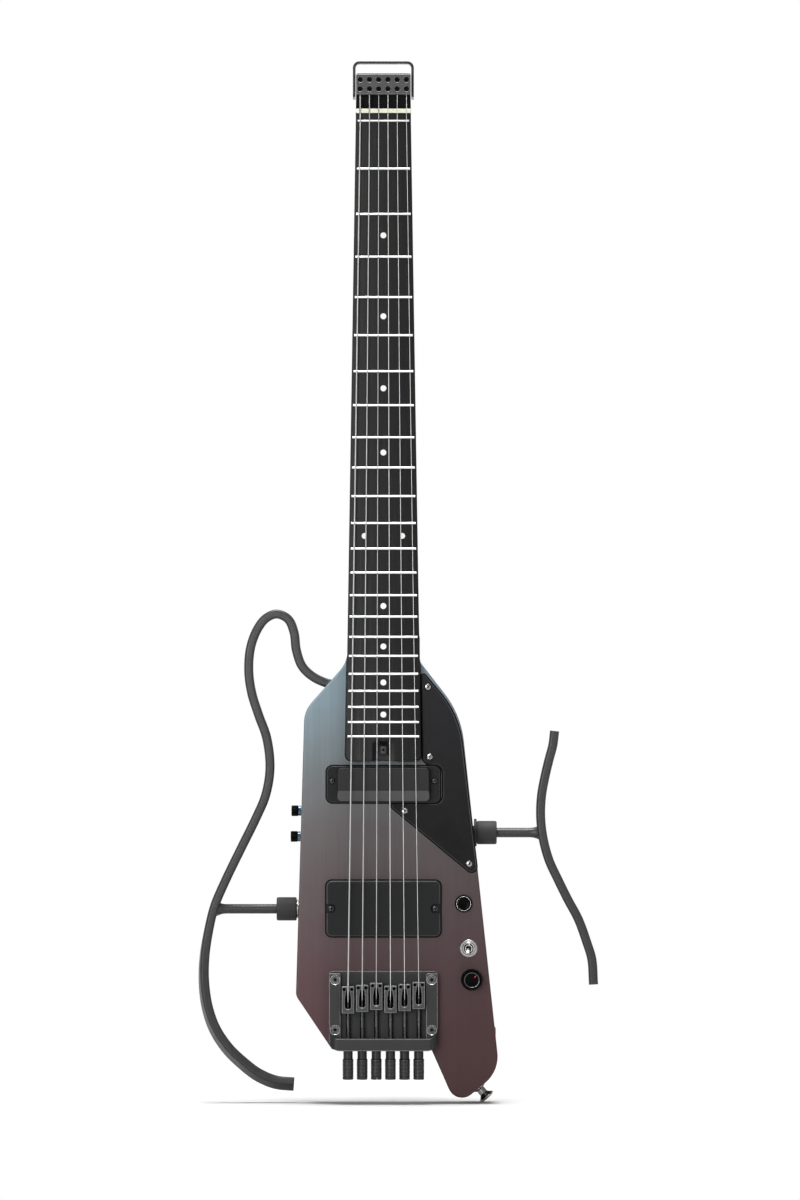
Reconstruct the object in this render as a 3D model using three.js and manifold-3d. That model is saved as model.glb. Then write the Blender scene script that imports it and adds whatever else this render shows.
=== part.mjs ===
// A headless travel guitar with two removable support arms, in millimetres.
// +Z runs up the neck, the strings face -Y, and the low string is on the -X side.
// Places are first worked out from the zero fret: z = 0 under it, y = 0 on the body's front face.
// The whole guitar is then moved so that its origin is where it hangs, under the bar of the head bail.
import * as THREE from "three";
import { mergeVertices } from "three/addons/utils/BufferGeometryUtils.js";
import Module from "manifold-3d";

const wasm = await Module();
wasm.setup();

// Clearances and facets
const seatGap = 0.15; // between faces that rest on each other
const fitGap = 0.3; // round a piece that sits in a pocket or hole
const runGap = 0.2; // round what turns or slides
const overrun = 3; // how far a cutter passes the face that it opens
const weldTolerance = 1e-4;
const facetLength = 2.5;
const fewestSides = 8;
const mostSides = 18;
const cornerStep = Math.PI / 8; // largest turn of one facet on a rounded corner
const cornerRoomShare = 0.49; // of the shorter side, the most that a rounded corner may take
const halfTurn = 180; // degrees

// Scale and strings
const scaleLength = 648;
const fretCount = 22;
const fretsPerOctave = 12;
const stringCount = 6;
const nutStringSpan = 35;
const bridgeStringSpan = 53.5;
const bassStringDiameter = 1.17;
const stringDiameterShares = [1, 0.78, 0.56, 0.37, 0.28, 0.22];
const stringSides = 6;
const bridgeStringHeight = 14.4; // string centre above the body's front face, at the saddles

// Neck and fingerboard
const boardHeadWidth = 41.8; // at the zero fret
const boardEndWidth = 57.4;
const boardEndLength = 18.4; // past the last fret
const boardThickness = 6.5;
const boardRadius = 305;
const boardHeight = 9; // crown above the body's front face
const boardCornerRadius = 4;
const boardArcSteps = 6;
const headDeckLength = 36; // from the zero fret to the end of the neck
const headDeckThickness = 2.5;
const nutFace = 5.75; // front face of the nut, behind the zero fret
const nutThickness = 3.25;
const nutHeight = 11.1; // above the body's front face
const nutGrooveClearance = 0.3;
const fretWidth = 2.3;
const fretHeight = 1.1;
const fretInset = 1.3;
const fretSink = 0.4;
const fretCrownShare = 0.45;
const fretSteps = 3;
const neckDepthAtNut = 14;
const neckDepthAtBody = 16.5;
const neckSideDepth = 3;
const headDepth = 12;
const headEaseLength = 20;
const heelLength = 94; // of the fingerboard that lies over the body
const heelDepth = 16; // below the body's front face
const heelBlendLength = 16; // above and below the body's top end
const neckRingSteps = 10;

// Truss rod
const rodNotchWidth = 16.9;
const rodNotchLength = 14.7;
const rodNotchRadius = 3;
const rodWidth = 6;
const rodDepth = 7;
const rodBarDepth = 2.4;
const rodStart = 22; // below the zero fret
const wheelDiameter = 8;
const wheelLength = 6.6;
const wheelInset = 3.4; // from the notch's blind end
const wheelHoleDiameter = 2;
const wheelHoleCount = 3;

// Head block and bail
const blockWidth = 41.5;
const blockLength = 15.4;
const blockBase = 19.5; // above the zero fret
const blockFront = 16;
const blockBevel = 0.6;
const clampScrewDiameter = 4;
const clampScrewDepth = 3;
const clampSpan = 35;
const clampRowPitch = 7;
const stringHoleDiameter = 2.4;
const stringHoleDepth = 8;
const bailWidth = 46.2;
const bailTop = 45;
const bailFoot = 16;
const bailThickness = 2;
const bailDepth = 12;
const bailMiddle = -3; // middle of the strap, from the body's front face
const bailCornerRadius = 5;
const bailScrewDiameter = 3;
const bailScrewHeight = 5;

// Body
const bodyWidth = 152.5;
const bodyTailLength = 35; // past the rear edge of the bridge
const bodyThickness = 40;
const bodyBevel = 1.3;
const neckPocketGap = 0.35;
const heelRoundRadius = 14; // where the body's back meets its top end
// Each corner: share of the width from the centre line, share of the length from the top, radius share
const bodyCornerShares = [
  [-0.178, 0, 0],
  [-0.178, 0.055, 0.22],
  [-0.393, 0.161, 0.15],
  [-0.435, 0.781, 0.06],
  [-0.255, 0.898, 0.015],
  [0.239, 0.898, 0.015],
  [0.364, 1.022, 0.072],
  [0.577, 0.945, 0.17],
  [0.386, 0.17, 0.46],
  [0.182, 0.055, 0.05],
  [0.181, 0, 0],
];
const pickguardThickness = 2;
const pickguardGap = 1.2; // from the fingerboard, and above and below the pickup ring
const pickguardRingGap = 2.4; // beside the pickup ring
const pickguardPointRadius = 1.5;
const pickguardNotchRadius = 6.3;
const pickguardTopShare = 0.075;
const pickguardPointShare = 0.023;
// The outer corners, as shares of the body's width and length from its top
const pickguardOuterShares = [
  [0.47, 0.526, 0.025],
  [0.373, 0.171, 0.49],
];

// Pickups
const neckPickupLead = 4.2; // from the end of the fingerboard to the ring
const ringWidth = 85.8;
const ringLength = 27.6;
const ringThickness = 1.6;
const ringRadius = 4.4;
const neckCoverWidth = 69.6;
const neckCoverLength = 25.2;
const neckCoverHeight = 9;
const neckCoverDepth = 12;
const neckCoverRadius = 3;
const neckCoverBandLength = 7.8;
const neckCoverBandDrop = 2.2;
const bridgePickupTrail = 26.3; // from the pickup to the bridge's front edge
const bridgePickupWidth = 86.5;
const bridgePickupLength = 42.2;
const bridgePickupHeight = 5;
const bridgePickupRadius = 4.2;
const bridgePickupBevel = 1;
const bridgePickupNotchDiameter = 7.4;
const bridgePickupNotchInset = 3.8;
const bridgePickupLedge = 2;
const pickupBodyWidth = 66;
const bridgePickupBodyLength = 36;
const bridgePickupDepth = 14;

// Bridge
const bridgeLead = 3.9; // base ahead of the scale length
const bridgeWidth = 82.4;
const bridgeLength = 60.2;
const bridgeFloor = 2.5;
const bridgeRailHeight = 8;
const bridgeRailWidth = 8.8;
const bridgeRailInset = 1.6;
const bridgeWallHeight = 14;
const bridgeWallThickness = 9.4;
const bridgeWallReturn = 7.5;
const bridgeWallBevel = 0.8;
const bridgeFrontRadius = 2.4;
const bridgeRearRadius = 8.5;
const bridgeScrewRecess = 6.6;
const bridgeScrewRecessDepth = 3;
const bridgeScrewInset = 4.6;
const bridgeScrewPitch = 38;
const saddleWidth = 9.4;
const saddleLength = 20.5;
const saddleTop = 13.4;
const saddleBase = 3;
const saddleBevel = 0.5;
const bassSetback = 7.3; // string 1's saddle behind the scale length
const saddleSetbackShares = [1, 0.84, 0.63, 0.93, 0.75, 0.53];
const saddleSlotWidth = 4.3;
const saddleSlotMouth = 2.2;
const saddleSlotFlare = 6;
const saddleSlotLength = 16.6;
const saddleSlotDepth = 4.1;
const saddleHoleDiameter = 2.6;
const saddleHoleSpread = 6.2;
const saddleHoleInset = 2.4;
const saddleHoleDepth = 4;
const saddleLipLength = 1.5;
const stringAnchorLength = 12;
const screwAxisHeight = 6.5;
const screwRodDiameter = 3.6;
const screwRodLength = 42; // from the rear wall's outer face into the saddle
const shankDiameter = 7.2;
const shankLength = 6.3;
const barrelDiameter = 8.5;
const barrelLength = 15.5;
const barrelChamfer = 0.9;
const ribCount = 3;
const ribDepth = 0.35;
const ribLandShare = 0.6;
const driverSlotWidth = 1.2;
const driverSlotDepth = 1.6;

// Controls on the front, each placed by shares of the body's width and length
const controlWall = 6; // wood left between the front face and the control cavity
const modeButtonShares = [0.399, 0.5805];
const bezelDiameter = 13.6;
const bezelHeight = 1.8;
const bezelBarrelDiameter = 11.2;
const bezelBarrelLength = 9;
const buttonDiameter = 9;
const buttonHeight = 3;
const buttonLength = 7;
const buttonStemDiameter = 3.4;
const buttonStemLength = 4;
const buttonTravel = 2.5;
const switchWidth = 11.6;
const switchDepth = 9;
const toggleShares = [0.4235, 0.678];
const toggleWasherDiameter = 13.3;
const toggleWasherHeight = 1;
const toggleNutDiameter = 10;
const toggleNutHeight = 3;
const toggleBushDiameter = 6.2;
const toggleBushHeight = 4.6;
const toggleBoreDiameter = 4.2;
const toggleBoreDepth = 1.6; // below the front face
const toggleHousingWidth = 9;
const toggleHousingLength = 12.6;
const toggleHousingDepth = 10;
const togglePivotHeight = 1;
const toggleBallDiameter = 3.6;
const toggleBallSides = 10;
const toggleBallRows = 6;
const leverNeckDiameter = 1.9;
const leverTipDiameter = 3;
const leverLength = 11;
const leverSides = 12;
const leverTilt = (13 * Math.PI) / 180;
const leverPlaneAngle = (-20 * Math.PI) / 180; // the throw leans towards the low string
const volumeInset = 13.59; // from the body's right edge
const volumeShare = 0.7454;
const knobSkirtDiameter = 16.7;
const knobSkirtHeight = 3.4;
const knobCapDiameter = 13.4;
const knobTopDiameter = 11.5;
const knobHeight = 12.5;
const knobLift = 1.6; // between the body's face and the skirt
const knobEdge = 0.6;
const shaftDiameter = 6;
const shaftReach = 8; // below the front face
const potBushDiameter = 8.4;
const potNutDiameter = 11;
const potNutHeight = 1.1;
const potBodyDiameter = 15.4;
const potBodyDepth = 9;

// Controls on the left edge
const sideKnobDiameter = 8.2;
const sideKnobLength = 6;
const sideKnobLift = 1.7;
const sideKnobEdge = 0.5;
const sideShaftDiameter = 3.2;
const sideShaftReach = 7;
const sidePotDiameter = 9.4;
const sidePotLength = 15;
const upperSideKnobShare = 0.38;
const lowerSideKnobShare = 0.436;

// Cavity at the back, its cover and what it holds
const coverWall = 3.2; // between the cover and the body's right edge
const coverTopWidth = 26.1;
const coverLowWidth = 32.9;
const coverRadius = 6.1;
const coverTopShare = 0.54;
const coverLowShare = 0.9;
const coverThickness = 1.8;
const coverRim = 2;
const coverPostDiameter = 4;
const coverPostInset = 3; // from the circuit board's left edge
const coverPostShares = [0.6, 0.81];
const circuitWidth = 16.5;
const circuitLength = 86;
const circuitThickness = 1.6;
const circuitDepth = 24; // below the front face
const circuitInset = 19; // from the body's right edge
const circuitShare = 0.7;
const batteryWidth = 22;
const batteryLength = 26;
const batteryThickness = 6.5;
const batteryInset = 20.45; // from the body's right edge
const batteryShare = 0.845;
const jackShare = 0.866;
const jackDiameter = 12;
const jackLength = 26;
const jackFlangeDiameter = 15;
const jackFlangeThickness = 1.6;
const jackBoreDiameter = 6.6;
const jackBoreDepth = 23;
const jackSides = 16;

// Strap buttons and neck screws
const hornCorner = 6; // the button stands between this corner of the body and the next
const lowerStrapShare = 0.52;
const backStrapShare = 0.042;
const strapHeadDiameter = 13;
const strapHeadThickness = 2.2;
const strapNeckDiameter = 6;
const strapFootDiameter = 10;
const strapHeight = 10.6;
const strapFlare = 1.6;
const strapSides = 12;
const strapScrewDiameter = 3.6;
const strapScrewLength = 14;
const neckScrewHeadDiameter = 8.4;
const neckScrewHeadThickness = 2.6;
const neckScrewDiameter = 4;
const neckScrewSink = 1.2;
const neckScrewReach = 10; // into the heel
const neckScrewSpread = 30;
const neckScrewShares = [0.095, 0.215];

// Support arms
const armPlane = 20; // below the body's front face
const barThickness = 6.9;
const barDepth = 12.6;
const barCornerShare = 0.3;
const barCornerStep = Math.PI / 2;
const strutDiameter = 6.5;
const strutFlareDiameter = 11;
const strutFlareLength = 7;
const strutReach = 14; // into the body
const collarDiameter = 16.9;
const collarLength = 15.2;
const collarChamfer = 1.6;
const socketDiameter = 10;
const socketLength = 18;
const socketFlangeDiameter = 14;
const socketFlangeThickness = 1.2;
const leftStrutShare = 0.5938;
const rightStrutShare = 0.4276;
const rightFlangeDiameter = 21;
const rightFlangeThickness = 2;
const leftArmReach = 136.6; // furthest place of the bar from the centre line
const leftArmRise = 17; // of its bend above the body's top end
const leftArmHeight = 357.3;
const leftArmLowerTwist = (-22 * Math.PI) / 180;
const leftArmPlugTaper = 0.75;
const leftArmSteps = 48;
// Centre of the bar: share of the reach from the centre line, share of the height from the top
const leftArmRouteShares = [
  [-0.498, 1],
  [-0.6, 0.996],
  [-0.7, 0.98],
  [-0.786, 0.955],
  [-0.869, 0.924],
  [-0.941, 0.882],
  [-0.982, 0.836],
  [-1, 0.785],
  [-0.998, 0.734],
  [-0.979, 0.683],
  [-0.941, 0.622],
  [-0.88, 0.567],
  [-0.791, 0.497],
  [-0.711, 0.435],
  [-0.656, 0.385],
  [-0.632, 0.327],
  [-0.65, 0.264],
  [-0.695, 0.215],
  [-0.733, 0.169],
  [-0.75, 0.124],
  [-0.741, 0.073],
  [-0.703, 0.033],
  [-0.654, 0.009],
  [-0.594, 0],
  [-0.531, 0.011],
  [-0.498, 0.039],
  [-0.485, 0.077],
  [-0.453, 0.111],
  [-0.392, 0.1335],
  [-0.309, 0.1475],
  [-0.246, 0.1505],
];
const rightArmReach = 160;
const rightArmDrop = 71.9; // of its upper end below the body's top end
const rightArmHeight = 192.5;
const rightArmSteps = 22;
const rightArmRouteShares = [
  [0.813, 0],
  [0.805, 0.055],
  [0.786, 0.115],
  [0.768, 0.178],
  [0.751, 0.256],
  [0.747, 0.34],
  [0.758, 0.421],
  [0.786, 0.508],
  [0.829, 0.586],
  [0.876, 0.665],
  [0.926, 0.743],
  [0.966, 0.834],
  [0.99, 0.901],
  [0.998, 1],
];

// Finishes
const bodyWood = { color: 0x5c4f50, roughness: 0.45, metalness: 0 };
const neckWood = { color: 0x2b2a2a, roughness: 0.5, metalness: 0 };
const boardWood = { color: 0x262626, roughness: 0.55, metalness: 0 };
const creamNut = { color: 0xefe9d2, roughness: 0.45, metalness: 0 };
const satinBlack = { color: 0x3a3a3b, roughness: 0.5, metalness: 0.6 };
const roughBlack = { color: 0x3a3a3b, roughness: 0.7, metalness: 0.4 };
const mattBlack = { color: 0x3a3a3b, roughness: 0.45, metalness: 0.5 };
const blackPlastic = { color: 0x232325, roughness: 0.45, metalness: 0 };
const glossBlack = { color: 0x232325, roughness: 0.3, metalness: 0.2 };
const chrome = { color: 0xc8c8ca, roughness: 0.2, metalness: 1 };
const steel = { color: 0xc8c8ca, roughness: 0.4, metalness: 1 };
const circuitGreen = { color: 0x27553a, roughness: 0.5, metalness: 0 };
const foilGrey = { color: 0x8a9096, roughness: 0.4, metalness: 0.2 };

// Places that follow from the sizes
const boardEnd = -(fretDistance(fretCount) + boardEndLength);
const bodyTop = boardEnd + heelLength;
const boardUnderside = boardThickness - boardHeight;
const neckTopFace = boardUnderside + seatGap;
const bridgeFrontEdge = bridgeLead - scaleLength;
const bridgeRearEdge = bridgeFrontEdge - bridgeLength;
const bodyLength = bodyTop - bridgeRearEdge + bodyTailLength;
const neckPickupMiddle = boardEnd - neckPickupLead - ringLength / 2;
const bridgePickupMiddle = bridgeFrontEdge + bridgePickupTrail + bridgePickupLength / 2;
const leftArmTop = -bodyTop - leftArmRise;
const rightArmTop = rightArmDrop - bodyTop;
const rodAxis = neckTopFace + rodDepth / 2;

function fretDistance(fret) {
  return scaleLength * (1 - 2 ** (-fret / fretsPerOctave));
}

function boardHalfWidth(z) {
  const slope = (boardEndWidth - boardHeadWidth) / boardEnd / 2;
  return boardHeadWidth / 2 + slope * z;
}

function arcDrop(x) {
  return boardRadius - Math.sqrt(boardRadius ** 2 - x ** 2);
}

function onBody([xShare, zShare]) {
  return { x: bodyWidth * xShare, z: bodyTop - bodyLength * zShare };
}

function spread(index, count, span) {
  return span * (index / (count - 1) - 1 / 2);
}

// Closed solids from geometries, and back
function sidesFor(radius) {
  const sides = Math.round((Math.PI * radius) / facetLength) * 2;
  return Math.min(mostSides, Math.max(fewestSides, sides));
}

function manifoldOf(vertProperties, triangles) {
  return new wasm.Manifold(
    new wasm.Mesh({ numProp: 3, vertProperties, triVerts: new Uint32Array(triangles) }),
  );
}

function solid(geometry) {
  const bare = new THREE.BufferGeometry();
  bare.setAttribute("position", geometry.getAttribute("position"));
  if (geometry.index) bare.setIndex(geometry.index);
  const merged = mergeVertices(bare, weldTolerance);
  const order = merged.index.array;
  const triangles = [];
  for (let i = 0; i < order.length; i += 3) {
    const [a, b, c] = order.slice(i, i + 3);
    if (a !== b && b !== c && c !== a) triangles.push(a, b, c);
  }
  const vertices = new Float32Array(merged.attributes.position.array);
  const made = manifoldOf(vertices, triangles);
  return made.volume() < 0 ? manifoldOf(vertices, triangles.reverse()) : made;
}

function geometryOf(made) {
  const mesh = made.getMesh();
  const positions = new Float32Array(mesh.numVert * 3);
  for (let i = 0; i < mesh.numVert; i++) {
    const start = i * mesh.numProp;
    positions.set(mesh.vertProperties.subarray(start, start + 3), i * 3);
  }
  const geometry = new THREE.BufferGeometry();
  geometry.setAttribute("position", new THREE.BufferAttribute(positions, 3));
  geometry.setIndex(new THREE.BufferAttribute(new Uint32Array(mesh.triVerts), 1));
  geometry.computeVertexNormals();
  return geometry;
}

// A closed surface through rings of equal point counts, capped at both ends
function loft(rings) {
  const count = rings[0].length;
  const index = [];
  for (let r = 0; r + 1 < rings.length; r++) {
    for (let i = 0; i < count; i++) {
      const a = r * count + i;
      const b = r * count + ((i + 1) % count);
      index.push(a, b, b + count, a, b + count, a + count);
    }
  }
  const last = (rings.length - 1) * count;
  for (let i = 1; i + 1 < count; i++) {
    index.push(0, i + 1, i, last, last + i, last + i + 1);
  }
  const geometry = new THREE.BufferGeometry().setFromPoints(rings.flat());
  geometry.setIndex(index);
  return solid(geometry);
}

// A polygon with an arc of the given radius at each corner: [x, y, radius]
function roundedPoints(corners, step = cornerStep) {
  const points = [];
  corners.forEach(([x, y, radius = 0], i) => {
    const corner = new THREE.Vector2(x, y);
    const before = corners[(i + corners.length - 1) % corners.length];
    const after = corners[(i + 1) % corners.length];
    const back = new THREE.Vector2(before[0], before[1]).sub(corner);
    const ahead = new THREE.Vector2(after[0], after[1]).sub(corner);
    const room = Math.min(back.length(), ahead.length()) * cornerRoomShare;
    back.normalize();
    ahead.normalize();
    const half = Math.acos(THREE.MathUtils.clamp(back.dot(ahead), -1, 1)) / 2;
    const tangent = Math.min(radius / Math.tan(half), room);
    if (tangent < weldTolerance) {
      points.push(corner);
      return;
    }
    const fitted = tangent * Math.tan(half);
    const middle = back.clone().add(ahead).normalize();
    const centre = corner.clone().addScaledVector(middle, fitted / Math.sin(half));
    const start = corner.clone().addScaledVector(back, tangent).sub(centre);
    const end = corner.clone().addScaledVector(ahead, tangent).sub(centre);
    const turn = Math.atan2(start.cross(end), start.dot(end));
    const steps = Math.max(1, Math.ceil(Math.abs(turn) / step));
    for (let s = 0; s <= steps; s++) {
      const spoke = start.clone().rotateAround(new THREE.Vector2(), (turn * s) / steps);
      points.push(spoke.add(centre));
    }
  });
  return points;
}

function roundedShape(corners) {
  return new THREE.Shape(roundedPoints(corners));
}

function rectangle(x, y, width, height, radius = 0) {
  return [
    [x - width / 2, y - height / 2, radius],
    [x + width / 2, y - height / 2, radius],
    [x + width / 2, y + height / 2, radius],
    [x - width / 2, y + height / 2, radius],
  ];
}

// The same convex polygon with every side moved in by a distance
function insetCorners(corners, distance) {
  const signedArea = corners.reduce((sum, [x, y], i) => {
    const [nextX, nextY] = corners[(i + 1) % corners.length];
    return sum + x * nextY - y * nextX;
  }, 0);
  const inward = Math.sign(signedArea) * distance;
  return corners.map(([x, y, radius], i) => {
    const [beforeX, beforeY] = corners[(i + corners.length - 1) % corners.length];
    const [afterX, afterY] = corners[(i + 1) % corners.length];
    const arrive = new THREE.Vector2(x - beforeX, y - beforeY).normalize();
    const leave = new THREE.Vector2(afterX - x, afterY - y).normalize();
    const middle = new THREE.Vector2(-arrive.y - leave.y, arrive.x + leave.x);
    const reach = (2 * inward) / middle.lengthSq();
    return [x + middle.x * reach, y + middle.y * reach, radius];
  });
}

// A shape drawn in x and z as seen from the front, from one y to another
function extrudeFront(shape, front, back, bevel = 0) {
  const geometry = new THREE.ExtrudeGeometry(shape, {
    depth: back - front - 2 * bevel,
    bevelEnabled: bevel > 0,
    bevelThickness: bevel,
    bevelSize: bevel,
    bevelOffset: -bevel,
    bevelSegments: 1,
  });
  return solid(geometry.rotateX(Math.PI / 2).translate(0, back - bevel, 0));
}

// A shape drawn in y and z as seen from the side, from one x to another
function extrudeSide(shape, left, right) {
  const geometry = new THREE.ExtrudeGeometry(shape, { depth: right - left, bevelEnabled: false });
  const turn = new THREE.Matrix4().makeBasis(
    new THREE.Vector3(0, 1, 0),
    new THREE.Vector3(0, 0, 1),
    new THREE.Vector3(1, 0, 0),
  );
  return solid(geometry.applyMatrix4(turn).translate(left, 0, 0));
}

// A shape drawn in x and y as seen from above, from one z to another
function extrudeUp(shape, low, high) {
  const geometry = new THREE.ExtrudeGeometry(shape, { depth: high - low, bevelEnabled: false });
  return solid(geometry.translate(0, 0, low));
}

// Turned pieces: a profile of [radius, place along the axis]
function lathe(profile, sides) {
  const points = profile.map(([radius, along]) => new THREE.Vector2(radius, along));
  return new THREE.LatheGeometry(points, sides);
}

function widest(profile) {
  return Math.max(...profile.map(([radius]) => radius));
}

function turnedY(profile, x, z, sides = sidesFor(widest(profile))) {
  return solid(lathe(profile, sides).translate(x, 0, z));
}

function turnedX(profile, y, z, sides = sidesFor(widest(profile))) {
  return solid(lathe(profile, sides).rotateZ(-Math.PI / 2).translate(0, y, z));
}

function turnedZ(profile, x, y, sides = sidesFor(widest(profile))) {
  return solid(lathe(profile, sides).rotateX(Math.PI / 2).translate(x, y, 0));
}

function column(radius, start, end) {
  return [
    [0, start],
    [radius, start],
    [radius, end],
    [0, end],
  ];
}

// A bore keeps its full radius at the middle of its facets
function bore(diameter, start, end) {
  const radius = diameter / 2 / Math.cos(Math.PI / sidesFor(diameter / 2));
  return column(radius, start, end);
}

function box(width, depth, height, x, y, z) {
  return solid(new THREE.BoxGeometry(width, depth, height).translate(x, y, z));
}

// The body's outline, and how far its edge is from the centre line at a height
const bodyOutline = roundedPoints(placedCorners(bodyCornerShares));

function bodyEdge(z, side) {
  let edge = 0;
  bodyOutline.forEach((a, i) => {
    const b = bodyOutline[(i + 1) % bodyOutline.length];
    if (a.y === b.y || (a.y - z) * (b.y - z) > 0) return;
    const x = a.x + ((b.x - a.x) * (z - a.y)) / (b.y - a.y);
    if (side * x > side * edge) edge = x;
  });
  return edge;
}

// A place at a height on the body, measured from its right edge
function besideEdge(inset, zShare) {
  const { z } = onBody([0, zShare]);
  return { x: bodyEdge(z, 1) - inset, z };
}

function placedCorners(cornerShares) {
  return cornerShares.map(([xShare, zShare, radiusShare]) => {
    const place = onBody([xShare, zShare]);
    return [place.x, place.z, radiusShare * bodyWidth];
  });
}

// Strings: place across the neck, radius and centre height at the zero fret and the saddles
function stringPlace(index) {
  const radius = (bassStringDiameter * stringDiameterShares[index]) / 2;
  const nutX = spread(index, stringCount, nutStringSpan);
  const bridgeX = spread(index, stringCount, bridgeStringSpan);
  const fretTop = -(boardHeight + fretHeight) + arcDrop(nutX);
  const saddleFace = -(scaleLength + bassSetback * saddleSetbackShares[index]);
  return { radius, nutX, bridgeX, nutY: fretTop - radius - seatGap, saddleFace };
}

// The neck, lofted through rings that are flat under the board and rounded at the back
function neckRing(z, depth) {
  const half = boardHalfWidth(z) - seatGap;
  const points = [new THREE.Vector3(-half, neckTopFace, z), new THREE.Vector3(half, neckTopFace, z)];
  for (let i = 0; i <= neckRingSteps; i++) {
    const angle = (Math.PI * i) / neckRingSteps;
    const y = neckTopFace + neckSideDepth + (depth - neckSideDepth) * Math.sin(angle);
    points.push(new THREE.Vector3(half * Math.cos(angle), y, z));
  }
  return points;
}

function heelCorners(grow, top) {
  return [
    [-boardHalfWidth(top) - grow, top],
    [boardHalfWidth(top) + grow, top],
    [boardHalfWidth(boardEnd) + grow, boardEnd - grow, boardCornerRadius],
    [-boardHalfWidth(boardEnd) - grow, boardEnd - grow, boardCornerRadius],
  ];
}

function neckScrewPlaces() {
  return neckScrewShares.flatMap((share) =>
    [-1, 1].map((side) => ({ x: (side * neckScrewSpread) / 2, z: onBody([0, share]).z })),
  );
}

function rodNotch(front, back) {
  const corners = rectangle(0, boardEnd, rodNotchWidth, rodNotchLength * 2, rodNotchRadius);
  return extrudeFront(roundedShape(corners), front, back);
}

function makeNeck() {
  const shaft = loft([
    neckRing(headDeckLength, headDepth),
    neckRing(headDeckLength - headEaseLength, headDepth),
    neckRing(0, neckDepthAtNut),
    neckRing(bodyTop + heelBlendLength, neckDepthAtBody),
    neckRing(bodyTop - heelBlendLength, neckDepthAtBody),
  ]);
  const heelPlan = roundedShape(heelCorners(-seatGap, bodyTop));
  let neck = shaft.add(extrudeFront(heelPlan, neckTopFace, heelDepth - seatGap));
  const channelLength = boardEnd - overrun + rodStart;
  neck = neck.subtract(
    box(
      rodWidth + fitGap * 2,
      rodDepth + overrun,
      -channelLength,
      0,
      neckTopFace + (rodDepth - overrun) / 2 + fitGap,
      channelLength / 2 - rodStart,
    ),
  );
  const wheelRoom = rodAxis + wheelDiameter / 2 + fitGap * 2;
  neck = neck.subtract(rodNotch(neckTopFace - overrun, wheelRoom));
  for (const { x, z } of neckScrewPlaces()) {
    const top = heelDepth - neckScrewReach - fitGap;
    const hole = bore(neckScrewDiameter + fitGap * 2, top, heelDepth + overrun);
    neck = neck.subtract(turnedY(hole, x, z));
  }
  return neck;
}

// One fret: a crowned strip that follows the curve of the board
function makeFret(index) {
  const z = -fretDistance(index);
  const half = boardHalfWidth(z) - fretInset;
  const rings = [];
  for (let i = 0; i <= fretSteps; i++) {
    const x = half * ((2 * i) / fretSteps - 1);
    const y = arcDrop(x) - boardHeight;
    rings.push([
      new THREE.Vector3(x, y + fretSink, z - fretWidth / 2),
      new THREE.Vector3(x, y - fretHeight, z - (fretWidth / 2) * fretCrownShare),
      new THREE.Vector3(x, y - fretHeight, z + (fretWidth / 2) * fretCrownShare),
      new THREE.Vector3(x, y + fretSink, z + fretWidth / 2),
    ]);
  }
  return loft(rings);
}

function makeFingerboard() {
  const wide = boardEndWidth / 2 + overrun;
  const section = [new THREE.Vector2(-wide, boardUnderside)];
  for (let i = 0; i <= boardArcSteps; i++) {
    const x = wide * ((2 * i) / boardArcSteps - 1);
    section.push(new THREE.Vector2(x, arcDrop(x) - boardHeight));
  }
  section.push(new THREE.Vector2(wide, boardUnderside));
  const crowned = extrudeUp(new THREE.Shape(section), boardEnd - overrun, nutFace - seatGap);
  const deckTop = boardUnderside - headDeckThickness;
  const deckShape = new THREE.Shape(
    rectangle(0, (boardUnderside + deckTop) / 2, wide * 2, headDeckThickness).map(
      ([x, y]) => new THREE.Vector2(x, y),
    ),
  );
  const deck = extrudeUp(deckShape, 0, headDeckLength + overrun);
  const plan = roundedShape([
    [-boardHalfWidth(headDeckLength), headDeckLength],
    [boardHalfWidth(headDeckLength), headDeckLength],
    ...heelCorners(0, 0).slice(2),
  ]);
  const slab = extrudeFront(plan, -boardHeight - overrun, boardUnderside + overrun);
  let board = crowned.add(deck).intersect(slab);
  board = board.subtract(rodNotch(-boardHeight - overrun, boardUnderside + overrun));
  for (let fret = 0; fret <= fretCount; fret++) {
    board = board.add(makeFret(fret));
  }
  return board;
}

function wheelTop() {
  return boardEnd + rodNotchLength - wheelInset;
}

function makeTrussRod() {
  const start = -rodStart - fitGap;
  const end = wheelTop() + fitGap;
  const length = start - end;
  const barY = neckTopFace + fitGap + rodBarDepth / 2;
  const flat = box(rodWidth, rodBarDepth, length, 0, barY, (start + end) / 2);
  const round = turnedZ(column((rodDepth - rodBarDepth) / 2, end, start), 0, rodAxis + fitGap);
  return flat.add(round);
}

function makeRodWheel() {
  const top = wheelTop();
  const radius = wheelDiameter / 2;
  let wheel = turnedZ(
    [
      [0, top - wheelLength],
      [radius - fitGap, top - wheelLength],
      [radius, top - wheelLength + fitGap],
      [radius, top - fitGap],
      [radius - fitGap, top],
      [0, top],
    ],
    0,
    rodAxis,
  );
  for (let i = 0; i < wheelHoleCount; i++) {
    const hole = solid(lathe(column(wheelHoleDiameter / 2, -radius * 2, radius * 2), fewestSides));
    const turned = hole.rotate([0, 0, (halfTurn * i) / wheelHoleCount]);
    wheel = wheel.subtract(turned.translate([0, rodAxis, top - wheelLength / 2]));
  }
  return wheel;
}

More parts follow.
